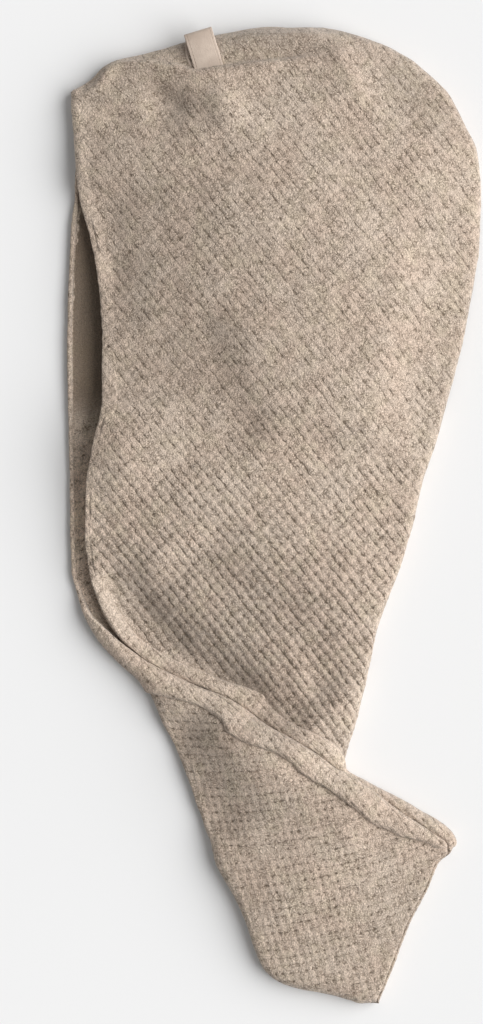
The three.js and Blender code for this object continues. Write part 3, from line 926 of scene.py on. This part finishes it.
@dataclass(frozen=True)
class Towelling:
    """Plush waffle towelling: puffed cells with pits between them, and a short pile, with
    painted shade and painted light in its colour.

    Scales are in features to a metre, or to a cell where they are laid on the cloth.
    Depths are in metres. Each wander of the weave has a scale and a reach in cells.
    """

    name: str
    light: tuple = (0.575, 0.470, 0.380, 1.0)
    warm: tuple = (0.560, 0.440, 0.350, 1.0)
    straw: tuple = (0.545, 0.452, 0.342, 1.0)
    # The colour of the painted shade in the weave's pits and cracks, in the pile's gaps and
    # inside the pocket.
    painted_shade_colour: tuple = (0.110, 0.076, 0.046, 1.0)
    # How dark the painted shade is in the seams, rails and pits of the weave and in the pile's
    # curls; rib and rung also weigh the raised cells of the relief.
    rib: float = 1.0
    rung: float = 0.4
    pit: float = 0.55
    pit_rib: float = 5.0
    pit_rung: float = 3.0
    curls: float = 0.62
    fading: float = 0.3
    pit_depth: float = 0.00055
    tuft_depth: float = 0.00018
    pile_depth: float = 0.00035
    wanders: tuple = ((90.0, 0.24), (330.0, 0.22))
    line_power: float = 16.0
    line_hidden: float = 0.5
    seam_least: float = 0.6
    dash_least: float = 0.05
    rail_least: float = 0.5
    cross_least: float = 0.1
    pit_least: float = 0.5
    dash_stretch: tuple = (1.25, 0.42)
    cross_stretch: tuple = (0.5, 1.25)
    cross_apart: float = 7.0
    dashes: Mottle = Mottle(1.0, 0.40, 0.62, 1.0)
    tuft_scale: float = 2.3
    tuft_gap: float = 0.10
    tuft_round: float = 0.35
    coil_scale: float = 520.0
    coil_width: float = 0.11
    gap_patches: Mottle = Mottle(300.0, 0.40, 0.66)
    coil_patches: Mottle = Mottle(170.0, 0.40, 0.60)
    fading_patches: Mottle = Mottle(45.0, 0.30, 0.55)
    warm_patches: Mottle = Mottle(30.0, 0.35, 0.65, 3.0)
    straw_patches: Mottle = Mottle(75.0, 0.45, 0.70)
    straw_share: float = 0.6
    pile_scale: float = 1600.0
    lint_scale: float = 800.0
    speck_edges: tuple = (0.25, 0.75)
    speck_pile: float = 0.56
    speck_lint: float = 0.30
    speck_least: float = 0.57
    # Shares of the painted shade colour at the pits and cracks, and inside the pocket.
    sunk_share: float = 0.88
    shade_share: float = 0.82
    raised_power: float = 1.5
    raised_share: float = 0.65
    crack_rise: float = 0.5
    roughness: float = 0.96
    gloss: float = 0.12
    sheen: float = 0.25
    sheen_roughness: float = 0.6

    def material(self) -> bpy.types.Material:
        """Build the finish, from the cloth's own coordinates and fine noise."""
        at = self.lattice(Graph(self.name))
        graph = at.graph
        crack_shade_and_relief = self.crack_shade_and_relief(at)
        tuft = graph.cell_edge(at.cloth, self.tuft_scale, 1.0)
        coil = (graph.grain(at.place, self.coil_scale) - 0.5).math("ABSOLUTE")
        coil = coil.eased(0.0, self.coil_width)
        gaps = (1.0 - tuft.eased(0.0, self.tuft_gap)) * graph.patches(at.place, self.gap_patches)
        curls = gaps + (1.0 - coil) * graph.patches(at.place, self.coil_patches)
        # Painted shade in the weave's seams, rails and pits and in the gaps and curls of the
        # pile.
        sunk = (crack_shade_and_relief + curls * self.curls).math("MINIMUM", 1.0)
        pile = graph.grain(at.place, self.pile_scale)
        lint = graph.grain(at.place, self.lint_scale)
        # The pits' painted shade or the pocket's painted shade, whichever is darker, pulls the
        # pile towards the shade colour.
        dark = (sunk * self.sunk_share).math("MAXIMUM", graph.worn("shade") * self.shade_share)
        rib, rung = at.rib**self.raised_power, at.rung**self.raised_power
        raised = rib * (self.raised_share * self.rib) + rung * (self.raised_share * self.rung)
        puff = 1.0 - raised * (1.0 - at.plain) - crack_shade_and_relief * self.crack_rise
        relief = graph.bump(puff, self.pit_depth)
        relief = graph.bump(tuft.eased(0.0, self.tuft_round) + coil, self.tuft_depth, relief)
        return graph.finish(
            {
                "Base Color": graph.mix(dark, self.tone(at, pile, lint), self.painted_shade_colour),
                "Roughness": self.roughness,
                "Specular IOR Level": self.gloss,
                "Sheen Weight": self.sheen,
                "Sheen Roughness": self.sheen_roughness,
                "Normal": graph.bump(pile * 0.5 + lint, self.pile_depth, relief),
            }
        )

    def lattice(self, graph: Graph) -> Lattice:
        """Bend the cloth's coordinates a little, and find the lines between its cells."""
        place = graph.add("ShaderNodeTexCoord", {}, {}, "Object")
        cloth = graph.add("ShaderNodeUVMap", {"uv_map": "cloth"}, {})
        for scale, reach in self.wanders:
            cloth = graph.vector("ADD", cloth, graph.wander(place, scale, reach))
        first, second = graph.parted(cloth)
        plain = graph.worn("plain")
        return Lattice(graph, place, cloth, first, second, first.wave(), second.wave(), plain)

    def crack_shade_and_relief(self, at: Lattice) -> Strand:
        """How much painted shade falls in the seams, rails and pits of the weave; the same share
        sinks them in the relief.

        Args:
            at: Where the material is on the cloth.

        Returns:
            Shares from 0 to 1.
        """
        graph, first, second = at.graph, at.first, at.second
        dash, cross = self.dash_stretch, self.cross_stretch
        strung = graph.joined(first * dash[0], second * dash[1], 0.0)
        dashed = graph.patches(strung, self.dashes)
        crossing = graph.joined(first * cross[0], second * cross[1], self.cross_apart)
        crossed = graph.patches(crossing, self.dashes)
        seam = at.rib**self.line_power * at.rung.above(self.seam_least)
        seam = seam * dashed.above(self.dash_least) * self.rib
        rail = at.rung**self.line_power * at.rib.above(self.rail_least)
        rail = rail * crossed.above(self.cross_least) * self.rung
        pit = at.rib**self.pit_rib * at.rung**self.pit_rung
        pit = pit * dashed.above(self.pit_least) * self.pit
        cracks = seam * (1.0 - at.plain * self.line_hidden) + (rail + pit) * (1.0 - at.plain)
        faded = graph.patches(at.place, self.fading_patches).above(1.0 - self.fading)
        return (cracks * faded).math("MINIMUM", 1.0)

    def tone(self, at: Lattice, pile: Strand, lint: Strand) -> Strand:
        """The pile's colour where no painted shade of pits or pocket darkens it, with the
        patches' painted shade and light.

        Args:
            at: Where the material is on the cloth.
            pile: The finest noise.
            lint: The next finest noise.

        Returns:
            The colour.
        """
        graph = at.graph
        tone = graph.mix(graph.patches(at.place, self.warm_patches), self.light, self.warm)
        faded = graph.patches(at.place, self.straw_patches) * self.straw_share
        tone = graph.mix(faded, tone, self.straw)
        speck = pile.eased(*self.speck_edges) * self.speck_pile
        speck = speck + lint.eased(*self.speck_edges) * self.speck_lint + self.speck_least
        # The patches' painted shade and painted light: darker where their rise is above zero,
        # lighter below.
        speck = speck * (1.0 - graph.worn("painted_shade_and_light"))
        return graph.mix(1.0, tone, graph.joined(speck, speck, speck), "MULTIPLY")


@dataclass(frozen=True)
class Leather:
    """Smooth beige leather with fine pores and a sewn line near both long edges."""

    name: str
    light: tuple = (0.585, 0.482, 0.400, 1.0)
    dark: tuple = (0.500, 0.402, 0.330, 1.0)
    thread: tuple = (0.400, 0.300, 0.225, 1.0)
    line_inset: float = 1.6
    line_edges: tuple = (0.15, 0.45)
    line_share: float = 0.35
    stitch_length: float = 2.4
    stitch_edges: tuple = (0.12, 0.3)
    stitch_rise: float = 0.8
    pore_scale: float = 1500.0
    cloud_scale: float = 120.0
    cloud_edges: tuple = (0.3, 0.7)
    groove_depth: float = 0.0002
    pore_depth: float = 0.00012
    roughness: float = 0.45
    roughness_spread: float = 0.15
    gloss: float = 0.35

    def material(self, width: float) -> bpy.types.Material:
        """Build the finish.

        Args:
            width: Width of the strap in millimetres.

        Returns:
            The material, whose UV map is in millimetres across and along the strap.
        """
        graph = Graph(self.name)
        place = graph.add("ShaderNodeTexCoord", {}, {}, "Object")
        strap = graph.add("ShaderNodeUVMap", {"uv_map": "strap"}, {})
        across, along = graph.parted(strap)
        inset = (across - width / 2).math("ABSOLUTE") - (width / 2 - self.line_inset)
        line = 1.0 - inset.math("ABSOLUTE").eased(*self.line_edges)
        dash = (along * (1 / self.stitch_length)).wave().eased(*self.stitch_edges)
        holes = {"Vector": place, "Scale": self.pore_scale}
        pores = graph.add("ShaderNodeTexVoronoi", {}, holes, "Distance")
        cloud = graph.grain(place, self.cloud_scale, 3.0)
        tone = graph.mix(cloud.eased(*self.cloud_edges), self.light, self.dark)
        groove = graph.bump(line * dash * self.stitch_rise - line, self.groove_depth)
        return graph.finish(
            {
                "Base Color": graph.mix(line * self.line_share, tone, self.thread),
                "Roughness": cloud * self.roughness_spread + self.roughness,
                "Specular IOR Level": self.gloss,
                "Normal": graph.bump(pores, self.pore_depth, groove),
            }
        )


@dataclass
class Panel:
    """One cloth of the towel, from its hem round a fold to the seam, with a hollow inside.

    Sizes are in millimetres, and edges say where a share is 0 and where it is 1. Lumps have
    a height, a size and a place in the noise.
    """

    side: Side
    loft: Loft
    weave: Weave
    outer_columns: int = 193
    inner_share: int = 8
    under_hem: float = 0.35
    hem_in: float = 0.012
    lap: float = 1.6
    lap_depth: float = 1.3
    lap_in: float = 0.01
    wide_lumps: tuple = (0.9, 34.0, 3.0)
    small_lumps: tuple = (0.45, 12.0, 9.0)
    lump_edges: tuple = (2.0, 8.0)
    # Where the painted pocket shade lies: the rows over which it fades in from the tail's end
    # and from the crown's end, and the lengths in from the rim.
    pocket_tail: tuple = (0.58, 0.63)
    pocket_crown: tuple = (0.84, 0.80)
    pocket_rim: tuple = (3.0, 8.0)

    def ends(self) -> tuple[np.ndarray, np.ndarray]:
        """Lengths at which the cloth starts and ends in each row."""
        loft, shape = self.loft, self.loft.shape
        top, tip = shape.opening_top, shape.opening_tip
        hemmed = eased(top, top - self.hem_in, loft.along)
        hemmed = hemmed * eased(tip, tip + self.hem_in, loft.along)
        rolled = shape.hem_width * loft.slant * self.under_hem * hemmed
        if self.side is Side.UPPER:
            return loft.upper + rolled, loft.seam + loft.around - loft.seam_gap / 2
        lapped = self.lap * (1.0 - hemmed)
        return loft.seam + loft.seam_gap / 2, loft.lower - rolled * loft.roll + lapped

    def sunk(self, lengths: np.ndarray) -> np.ndarray:
        """How far the lower cloth sinks under the upper one where they are sewn together."""
        if self.side is Side.UPPER:
            return np.zeros(lengths.shape)
        loft, shape = self.loft, self.loft.shape
        top, tip = shape.opening_top, shape.opening_tip
        sewn = eased(top - self.lap_in, top, loft.along)
        sewn = sewn + eased(tip + self.lap_in, tip, loft.along)
        near = self.ends()[1][:, None] - lengths
        return self.lap_depth * sewn[:, None] * eased(3.0 * self.lap, self.lap, near)

    def shade(self, lengths: np.ndarray) -> np.ndarray:
        """Share of painted shade on the lower cloth inside the pocket, growing from 0 at its rim
        to 1 further in.
        """
        if self.side is Side.UPPER:
            return np.zeros(lengths.shape)
        along = self.loft.along
        rows = eased(*self.pocket_tail, along) * eased(*self.pocket_crown, along)
        return rows[:, None] * eased(*self.pocket_rim, np.abs(lengths))

    def lumps(self, outer: np.ndarray) -> np.ndarray:
        """How far the cloth swells in wide and small lumps, which end at the floor."""
        lump = sum(
            rise * soft_noise(outer, size, seed)
            for rise, size, seed in (self.wide_lumps, self.small_lumps)
        )
        return lump * eased(*self.lump_edges, outer[..., 2])

    def lining(self, outer: np.ndarray, normal: np.ndarray) -> np.ndarray:
        """Points of the inside, a wall in from the outside and clear of the other cloth.

        Args:
            outer: Points of the outside.
            normal: Outward normals there.

        Returns:
            The points, on their own side of the middle and no lower than the floor.
        """
        shape = self.loft.shape
        inner = outer - normal * shape.cloth
        low = outer[..., 2] < shape.fold_depth
        under = np.minimum(inner[..., 2], shape.fold_depth - shape.gap / 2)
        over = np.maximum(inner[..., 2], shape.fold_depth + shape.gap / 2)
        inner[..., 2] = np.maximum(np.where(low, under, over), 0.0)
        return inner

    def ringed(self, outside: np.ndarray, inside: Union[np.ndarray, None] = None) -> np.ndarray:
        """Rings over the outside and back over the inside, which end on their first point.

        Args:
            outside: Values at the points of the outside.
            inside: Values at every point of the inside's share, or None for the same.

        Returns:
            The values round each ring.
        """
        if inside is None:
            inside = outside[:, :: self.inner_share]
        return np.concatenate([outside, inside[:, ::-1], outside[:, :1]], axis=1)

    def mesh(self, name: str) -> bpy.types.Mesh:
        """Build the closed cloth.

        Args:
            name: Name of the mesh.

        Returns:
            The mesh, with its cell counts as a UV map.
        """
        loft, shape = self.loft, self.loft.shape
        lengths = loft.spread(*self.ends(), self.outer_columns)
        outer = loft.points(lengths)
        normal = normals_of(outer)
        cells = self.weave.cells(*flat_places(loft, lengths))
        plain = plainness(loft, outer)
        puff = self.weave.puff(*cells) * (1.0 - plain)
        swell = puff + self.lumps(outer) - self.sunk(lengths)
        seen = outer + normal * swell[..., None]
        seen[..., 2] = np.maximum(seen[..., 2], 0.0)
        inner = self.lining(outer[:, :: self.inner_share], normal[:, :: self.inner_share])
        # The patches' painted shade and light, and the painted pocket shade, are kept on the
        # mesh for the material.
        painted_shade_and_light = shape.spread_over(PAINTED_SHADE_AND_LIGHT, outer[..., 0], outer[..., 1])
        worn = {"plain": plain, "shade": self.shade(lengths), "painted_shade_and_light": painted_shade_and_light}
        worn = {kind: self.ringed(values) for kind, values in worn.items()}
        flat = self.ringed(np.stack(cells, axis=2))
        ring = in_frame(shape, self.ringed(seen, inner))
        return ring_mesh(name, ring, flat, worn, self.inner_share)


def flat_places(loft: Loft, lengths: np.ndarray) -> tuple[np.ndarray, np.ndarray]:
    """Places on the flat cloth of lengths in each row.

    Args:
        loft: The towel's rows.
        lengths: Lengths of cloth from each row's left fold.

    Returns:
        Millimetres across and along.
    """
    middle = loft.shape.width / 2
    line = np.clip(middle, loft.left + loft.left_reach, loft.right - loft.right_reach)
    at = np.array([np.interp(m, x, a) for m, x, a in zip(line, loft.x, loft.top[1])])
    across = line[:, None] + lengths - at[:, None]
    return across, np.broadcast_to(loft.y[:, None], across.shape)


def plainness(loft: Loft, points: np.ndarray) -> np.ndarray:
    """How far the pile hides the cells: more near the crown, nothing lower down."""
    upper_share, crown_share, crown_slope, most = 0.60, 0.34, 0.10, 0.92
    upper_edges, crown_edges = (0.40, 0.66), (0.80, 0.97)
    along = points[..., 1] / loft.shape.length
    across = points[..., 0] / loft.shape.width
    crown = crown_share * eased(*crown_edges, along - crown_slope * across)
    return np.clip(upper_share * eased(*upper_edges, along) + crown, 0.0, most)


@dataclass
class Hem:
    """One turned hem, an oval roll of cloth along the edge of the opening.

    It is rolled over between two places along the towel, first the upper hem's, then the
    lower one's.
    """

    side: Side
    loft: Loft
    weave: Weave
    sides: int = 40
    end_taper: float = 5.0
    end_start: float = 1.0
    end_width: float = 0.5
    flat: float = 0.66
    rolled_over: tuple = ((0.43, 0.36), (0.37, 0.27))
    slim: float = 0.45
    plumper: float = 0.4
    cell_share: float = 0.5
    lump: float = 0.5
    lump_size: float = 15.0
    lump_seed: float = 5.0

    def mesh(self, name: str) -> bpy.types.Mesh:
        """Build the roll.

        Args:
            name: Name of the mesh.

        Returns:
            The closed roll, with its cell counts as a UV map.
        """
        loft, shape = self.loft, self.loft.shape
        sign = self.side.value
        lower = self.side is Side.LOWER
        roll = loft.roll if lower else np.ones(len(loft.y))
        first = shape.opening_tip * shape.length
        last = shape.opening_top * shape.length
        inside = np.minimum(loft.y - first, last - loft.y) + self.end_start
        taper = rounded(inside, self.end_taper)
        full = loft.hem_width(roll) - shape.hem_gap * loft.slant
        width = (full * (self.end_width + (1.0 - self.end_width) * taper))[:, None]
        rolled = eased(*self.rolled_over[lower], loft.along)
        thick = shape.hem_thick * (self.flat + (1.0 - self.flat) * rolled) * roll * taper
        edge = (loft.lower if lower else loft.upper) + sign * shape.hem_gap * loft.slant / 2
        centre = (edge + sign * full / 2)[:, None]
        turn = math.pi - 2 * math.pi * np.arange(self.sides + 1) / self.sides
        lengths = centre + width / 2 * np.cos(turn)
        fullness = (self.slim + self.plumper * rolled)[:, None]
        bulge = np.sign(np.sin(turn)) * np.abs(np.sin(turn)) ** fullness
        depth = shape.cloth - thick[:, None] / 2 * (1 + bulge)
        ring = loft.points(lengths) - self.normals(lengths) * depth[..., None]
        across, along = flat_places(loft, np.broadcast_to(centre, lengths.shape))
        cells = self.weave.cells(across + width / 2 * (math.pi / 2 - turn), along)
        out = normals_of(ring)
        out[:, [0, -1]] = (out[:, [0]] + out[:, [-1]]) / 2
        lump = self.lump * soft_noise(ring, self.lump_size, self.lump_seed)
        swell = self.cell_share * self.weave.puff(*cells) + lump
        ring = ring + out * (swell * taper[:, None])[..., None]
        ring[..., 2] = np.maximum(ring[..., 2], 0.0)
        ring[:, -1] = ring[:, 0]
        ring, flat = ring[loft.open], np.stack(cells, axis=2)[loft.open]
        # Only the lighter patches, painted light, reach the hems.
        painted_shade_and_light = np.minimum(shape.spread_over(PAINTED_SHADE_AND_LIGHT, ring[..., 0], ring[..., 1]), 0.0)
        worn = {"plain": plainness(loft, ring), "painted_shade_and_light": painted_shade_and_light}
        return ring_mesh(name, in_frame(shape, ring), flat, worn)

    def normals(self, lengths: np.ndarray) -> np.ndarray:
        """The cloth's outward normals at lengths in each row."""
        loft, step = self.loft, self.loft.shape.probe
        across = loft.points(lengths + step) - loft.points(lengths - step)
        reach = np.where(lengths >= 0, loft.top_reach[:, None], loft.under_reach[:, None])
        share = lengths / reach
        onwards = np.zeros(across.shape)
        ahead = np.minimum(np.arange(len(loft.y)) + 1, len(loft.y) - 1)
        behind = np.maximum(np.arange(len(loft.y)) - 1, 0)
        for rows, sign in ((ahead, 1.0), (behind, -1.0)):
            moved = share * np.where(
                share >= 0, loft.top_reach[rows, None], loft.under_reach[rows, None]
            )
            onwards += sign * loft.picked(rows).points(moved)
        return facing(across, onwards)


@dataclass
class LeatherLoop:
    """The leather strap, doubled back on itself with a small eye at its far end."""

    loft: Loft
    width: float = 18.0
    length: float = 27.8
    sewn_in: float = 4.8
    leather: float = 1.3
    opening: float = 3.4
    across: float = 0.342
    along: float = 0.9585
    lean: float = 107.0
    drop: float = 0.27
    sink: float = 1.4
    edge_round: float = 0.4
    slip: float = 2.6
    steps: int = 12
    closed_at: float = 0.8
    rim_angle: float = 0.9
    rim_segments: int = 3

    def middle(self) -> np.ndarray:
        """Points along the middle of the leather, out, round the eye and back."""
        half = self.leather / 2
        bend = self.opening / 2 + half
        flat = self.length - bend - half
        t = np.linspace(0.0, 1.0, self.steps + 1)
        turn = np.linspace(-math.pi / 2, math.pi / 2, self.steps + 1)[1:-1]
        closed = half + self.leather + self.loft.shape.gap
        back = half + 2 * bend + (closed - half - 2 * bend) * eased(0.0, self.closed_at, t)
        eye = (flat + bend * np.cos(turn), half + bend + bend * np.sin(turn))
        legs = ((t * flat, np.full(len(t), half)), eye, ((1 - t) * flat, back))
        return np.concatenate([np.stack(leg, axis=1) for leg in legs])

    def mesh(self, name: str) -> bpy.types.Mesh:
        """Build the strap.

        Args:
            name: Name of the mesh.

        Returns:
            The closed strap, with millimetres across and along it as a UV map.
        """
        line = self.middle()
        run = np.gradient(line, axis=0)
        run /= np.linalg.norm(run, axis=1, keepdims=True)
        beside = np.stack([run[:, 1], -run[:, 0]], axis=1) * self.leather / 2
        length = np.concatenate([[0.0], np.cumsum(np.hypot(*np.diff(line, axis=0).T))])
        bm = bmesh.new()
        strap = bm.loops.layers.uv.new("strap")
        profile = [*(line + beside), *(line - beside)[::-1]]
        verts = [bm.verts.new((x, y, 0.0)) for x, y in profile]
        for i in range(len(line) - 1):
            bm.faces.new([verts[i], verts[i + 1], verts[-i - 2], verts[-i - 1]])
        made = bmesh.ops.extrude_face_region(bm, geom=bm.faces[:])["geom"]
        lifted = [item for item in made if isinstance(item, bmesh.types.BMVert)]
        bmesh.ops.translate(bm, verts=lifted, vec=(0.0, 0.0, self.width))
        bmesh.ops.recalc_face_normals(bm, faces=bm.faces[:])
        rims = [edge for edge in bm.edges if edge.calc_face_angle(0.0) > self.rim_angle]
        bmesh.ops.bevel(
            bm,
            geom=rims,
            offset=self.edge_round,
            offset_type="OFFSET",
            affect="EDGES",
            segments=self.rim_segments,
            profile=0.5,
            material=-1,
        )
        near = {}
        for vert in bm.verts:
            gap = np.hypot(line[:, 0] - vert.co.x, line[:, 1] - vert.co.y)
            near[vert] = int(np.argmin(gap))
        for face in bm.faces:
            face.smooth = True
            for corner in face.loops:
                corner[strap].uv = (corner.vert.co.z, float(length[near[corner.vert]]))
        for vert, place in near.items():
            out = min(place / self.steps, 1.0)
            vert.co.z -= self.slip * math.sin(math.pi * out)
        bmesh.ops.transform(bm, matrix=self.place(), verts=bm.verts[:])
        mesh = bpy.data.meshes.new(name)
        bm.to_mesh(mesh)
        bm.free()
        return mesh

    def place(self) -> Matrix:
        """The strap's place in the row frame, in metres."""
        loft, shape = self.loft, self.loft.shape
        lean = math.radians(self.lean)
        onwards = Vector((math.cos(lean), math.sin(lean), -self.drop)).normalized()
        across = Vector((math.sin(lean), -math.cos(lean), 0.0))
        upwards = across.cross(onwards)
        row = int(np.argmin(np.abs(loft.y - self.along * shape.length)))
        x = self.across * shape.width
        height = float(np.interp(x, loft.x[row], loft.top[0][row]))
        foot = Vector((x, self.along * shape.length, height - self.sink))
        foot -= across * (self.width / 2) + onwards * self.sewn_in
        foot -= Vector((shape.width / 2, shape.length / 2, 0.0))
        turned = Matrix((onwards, upwards, across)).transposed().to_4x4()
        return Matrix.Scale(MM, 4) @ Matrix.Translation(foot) @ turned


def row_places(shape: TowelShape, step: float) -> np.ndarray:
    """Places of the rows along the towel, closer together on the rounds of both ends.

    Args:
        shape: The towel's sizes.
        step: Distance between rows in millimetres.

    Returns:
        Places in millimetres from the tail.
    """
    bend_rows = 9
    bend = shape.end_round * (1.0 - np.cos(np.linspace(0.0, math.pi / 2, bend_rows)))
    tip, top = shape.opening_tip * shape.length, shape.opening_top * shape.length
    stretches = (
        (bend[-1], tip - shape.gap),
        (tip, top),
        (top + shape.gap, shape.length - bend[-1]),
    )
    parts = [bend[:-1]]
    for low, high in stretches:
        parts.append(np.linspace(low, high, round((high - low) / step) + 1))
    parts.append((shape.length - bend[:-1])[::-1])
    return np.concatenate(parts)


@dataclass
class Towel:
    """The whole towel: two cloths, their hems and the leather loop."""

    shape: TowelShape = field(default_factory=TowelShape)
    row_step: float = 1.45
    hem_step: float = 1.1
    lower_flat: tuple[float, float] = (0.30, 0.62)
    lower_area: float = 0.12
    upper_flat: tuple[float, float] = (0.28, 0.62)
    upper_area: float = 0.096

    def build(self) -> list[bpy.types.Object]:
        """Build every piece, dress it, hang it on the root body and hide the part that it
        replaces.
        """
        loft = Loft(self.shape, row_places(self.shape, self.row_step))
        hems = Loft(self.shape, row_places(self.shape, self.hem_step))
        body = Towelling("plush_towelling").material()
        hemmed = Towelling("hem_towelling", curls=0.5, rib=0.45, rung=0.3, pit=0.4).material()
        tailed = Towelling(
            "tail_towelling",
            rib=0.12,
            rung=0.45,
            pit=0.62,
            pit_rib=3.0,
            pit_rung=4.0,
            curls=0.6,
            fading=0.7,
        ).material()
        strap = LeatherLoop(loft)
        leather = Leather("beige_leather").material(strap.width)
        makers = {
            "lower_cloth": (Panel(Side.LOWER, loft, TAIL_WEAVE), tailed),
            "upper_cloth": (Panel(Side.UPPER, loft, BODY_WEAVE), body),
            "lower_hem_roll": (Hem(Side.LOWER, hems, BODY_WEAVE), hemmed),
            "upper_hem_roll": (Hem(Side.UPPER, hems, BODY_WEAVE), hemmed),
            "leather_loop": (strap, leather),
        }
        made = {
            name: placed(name, maker.mesh(name), material)
            for name, (maker, material) in makers.items()
        }
        self.declare(made)
        return list(made.values())

    def declare(self, made: dict[str, bpy.types.Object]) -> None:
        """Hang each piece on the root body and hide the part of the model that it replaces.

        Args:
            made: The pieces by name.
        """
        stands_for = {
            "lower_cloth": ("lower_panel", "towelling"),
            "upper_cloth": ("upper_panel", "towelling"),
            "lower_hem_roll": ("lower_hem", "hem_towelling"),
            "upper_hem_roll": ("upper_hem", "hem_towelling"),
            "leather_loop": ("hanging_loop", "loop_leather"),
        }
        for name, (node, slot) in stands_for.items():
            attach(made[name], "root")
            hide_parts(node)


@dataclass
class Studio:
    """A pale floor, soft light from the upper right and a camera straight above."""

    view_height: float = 0.643
    distance: float = 3.0
    centre: tuple[float, float] = (-0.0204, 0.0022)
    sensor: float = 36.0
    floor_size: float = 12.0
    floor_cells: int = 4
    floor_roughness: float = 0.9
    floor_colour: tuple = (0.80, 0.80, 0.80, 1.0)
    sun_strength: float = 4.65
    sun_turn: float = 2.0
    sun_height: float = 33.0
    sun_softness: float = 74.0
    sun_distance: float = 2.0
    sky: float = 0.31

    def build(self) -> None:
        """Set the stage."""
        self.floor()
        self.light()
        self.camera()

    def floor(self) -> None:
        """Lay the floor under the towel."""
        bm = bmesh.new()
        cells, half = self.floor_cells, self.floor_size / 2
        bmesh.ops.create_grid(bm, x_segments=cells, y_segments=cells, size=half)
        mesh = bpy.data.meshes.new("floor")
        bm.to_mesh(mesh)
        bm.free()
        graph = Graph("pale_floor")
        values = {"Base Color": self.floor_colour, "Roughness": self.floor_roughness}
        floor = placed("floor", mesh, graph.finish(values))

    def light(self) -> None:
        """Hang a wide soft light at the upper right and an even sky."""
        lamp = bpy.data.lights.new("soft_key", "SUN")
        lamp.energy = self.sun_strength
        lamp.angle = math.radians(self.sun_softness)
        key = bpy.data.objects.new("soft_key", lamp)
        turn, height = math.radians(self.sun_turn), math.radians(self.sun_height)
        level = math.cos(height)
        towards = Vector((math.cos(turn) * level, math.sin(turn) * level, math.sin(height)))
        key.rotation_mode = "QUATERNION"
        key.rotation_quaternion = towards.to_track_quat("Z", "Y")
        key.location = towards * self.sun_distance
        bpy.context.scene.collection.objects.link(key)
        world = bpy.data.worlds.new("studio")
        world.use_nodes = True
        sky = world.node_tree.nodes["Background"]
        sky.inputs["Color"].default_value = (1.0, 1.0, 1.0, 1.0)
        sky.inputs["Strength"].default_value = self.sky
        bpy.context.scene.world = world
        bpy.context.scene.view_settings.view_transform = "Standard"

    def camera(self) -> None:
        """Look straight down at the towel."""
        data = bpy.data.cameras.new("camera")
        data.sensor_width = self.sensor
        data.lens = self.sensor * self.distance / self.view_height
        camera = bpy.data.objects.new("camera", data)
        camera.location = (*self.centre, self.distance)
        bpy.context.scene.collection.objects.link(camera)
        bpy.context.scene.camera = camera


def main() -> None:
    """Build the towel and its studio, and report each piece."""
    logging.basicConfig(level=logging.INFO, format="%(name)s: %(message)s")
    for piece in Towel().build():
        LOG.info("%s has %d faces", piece.name, len(piece.data.polygons))
    Studio().build()


if __name__ == "__main__":
    main()
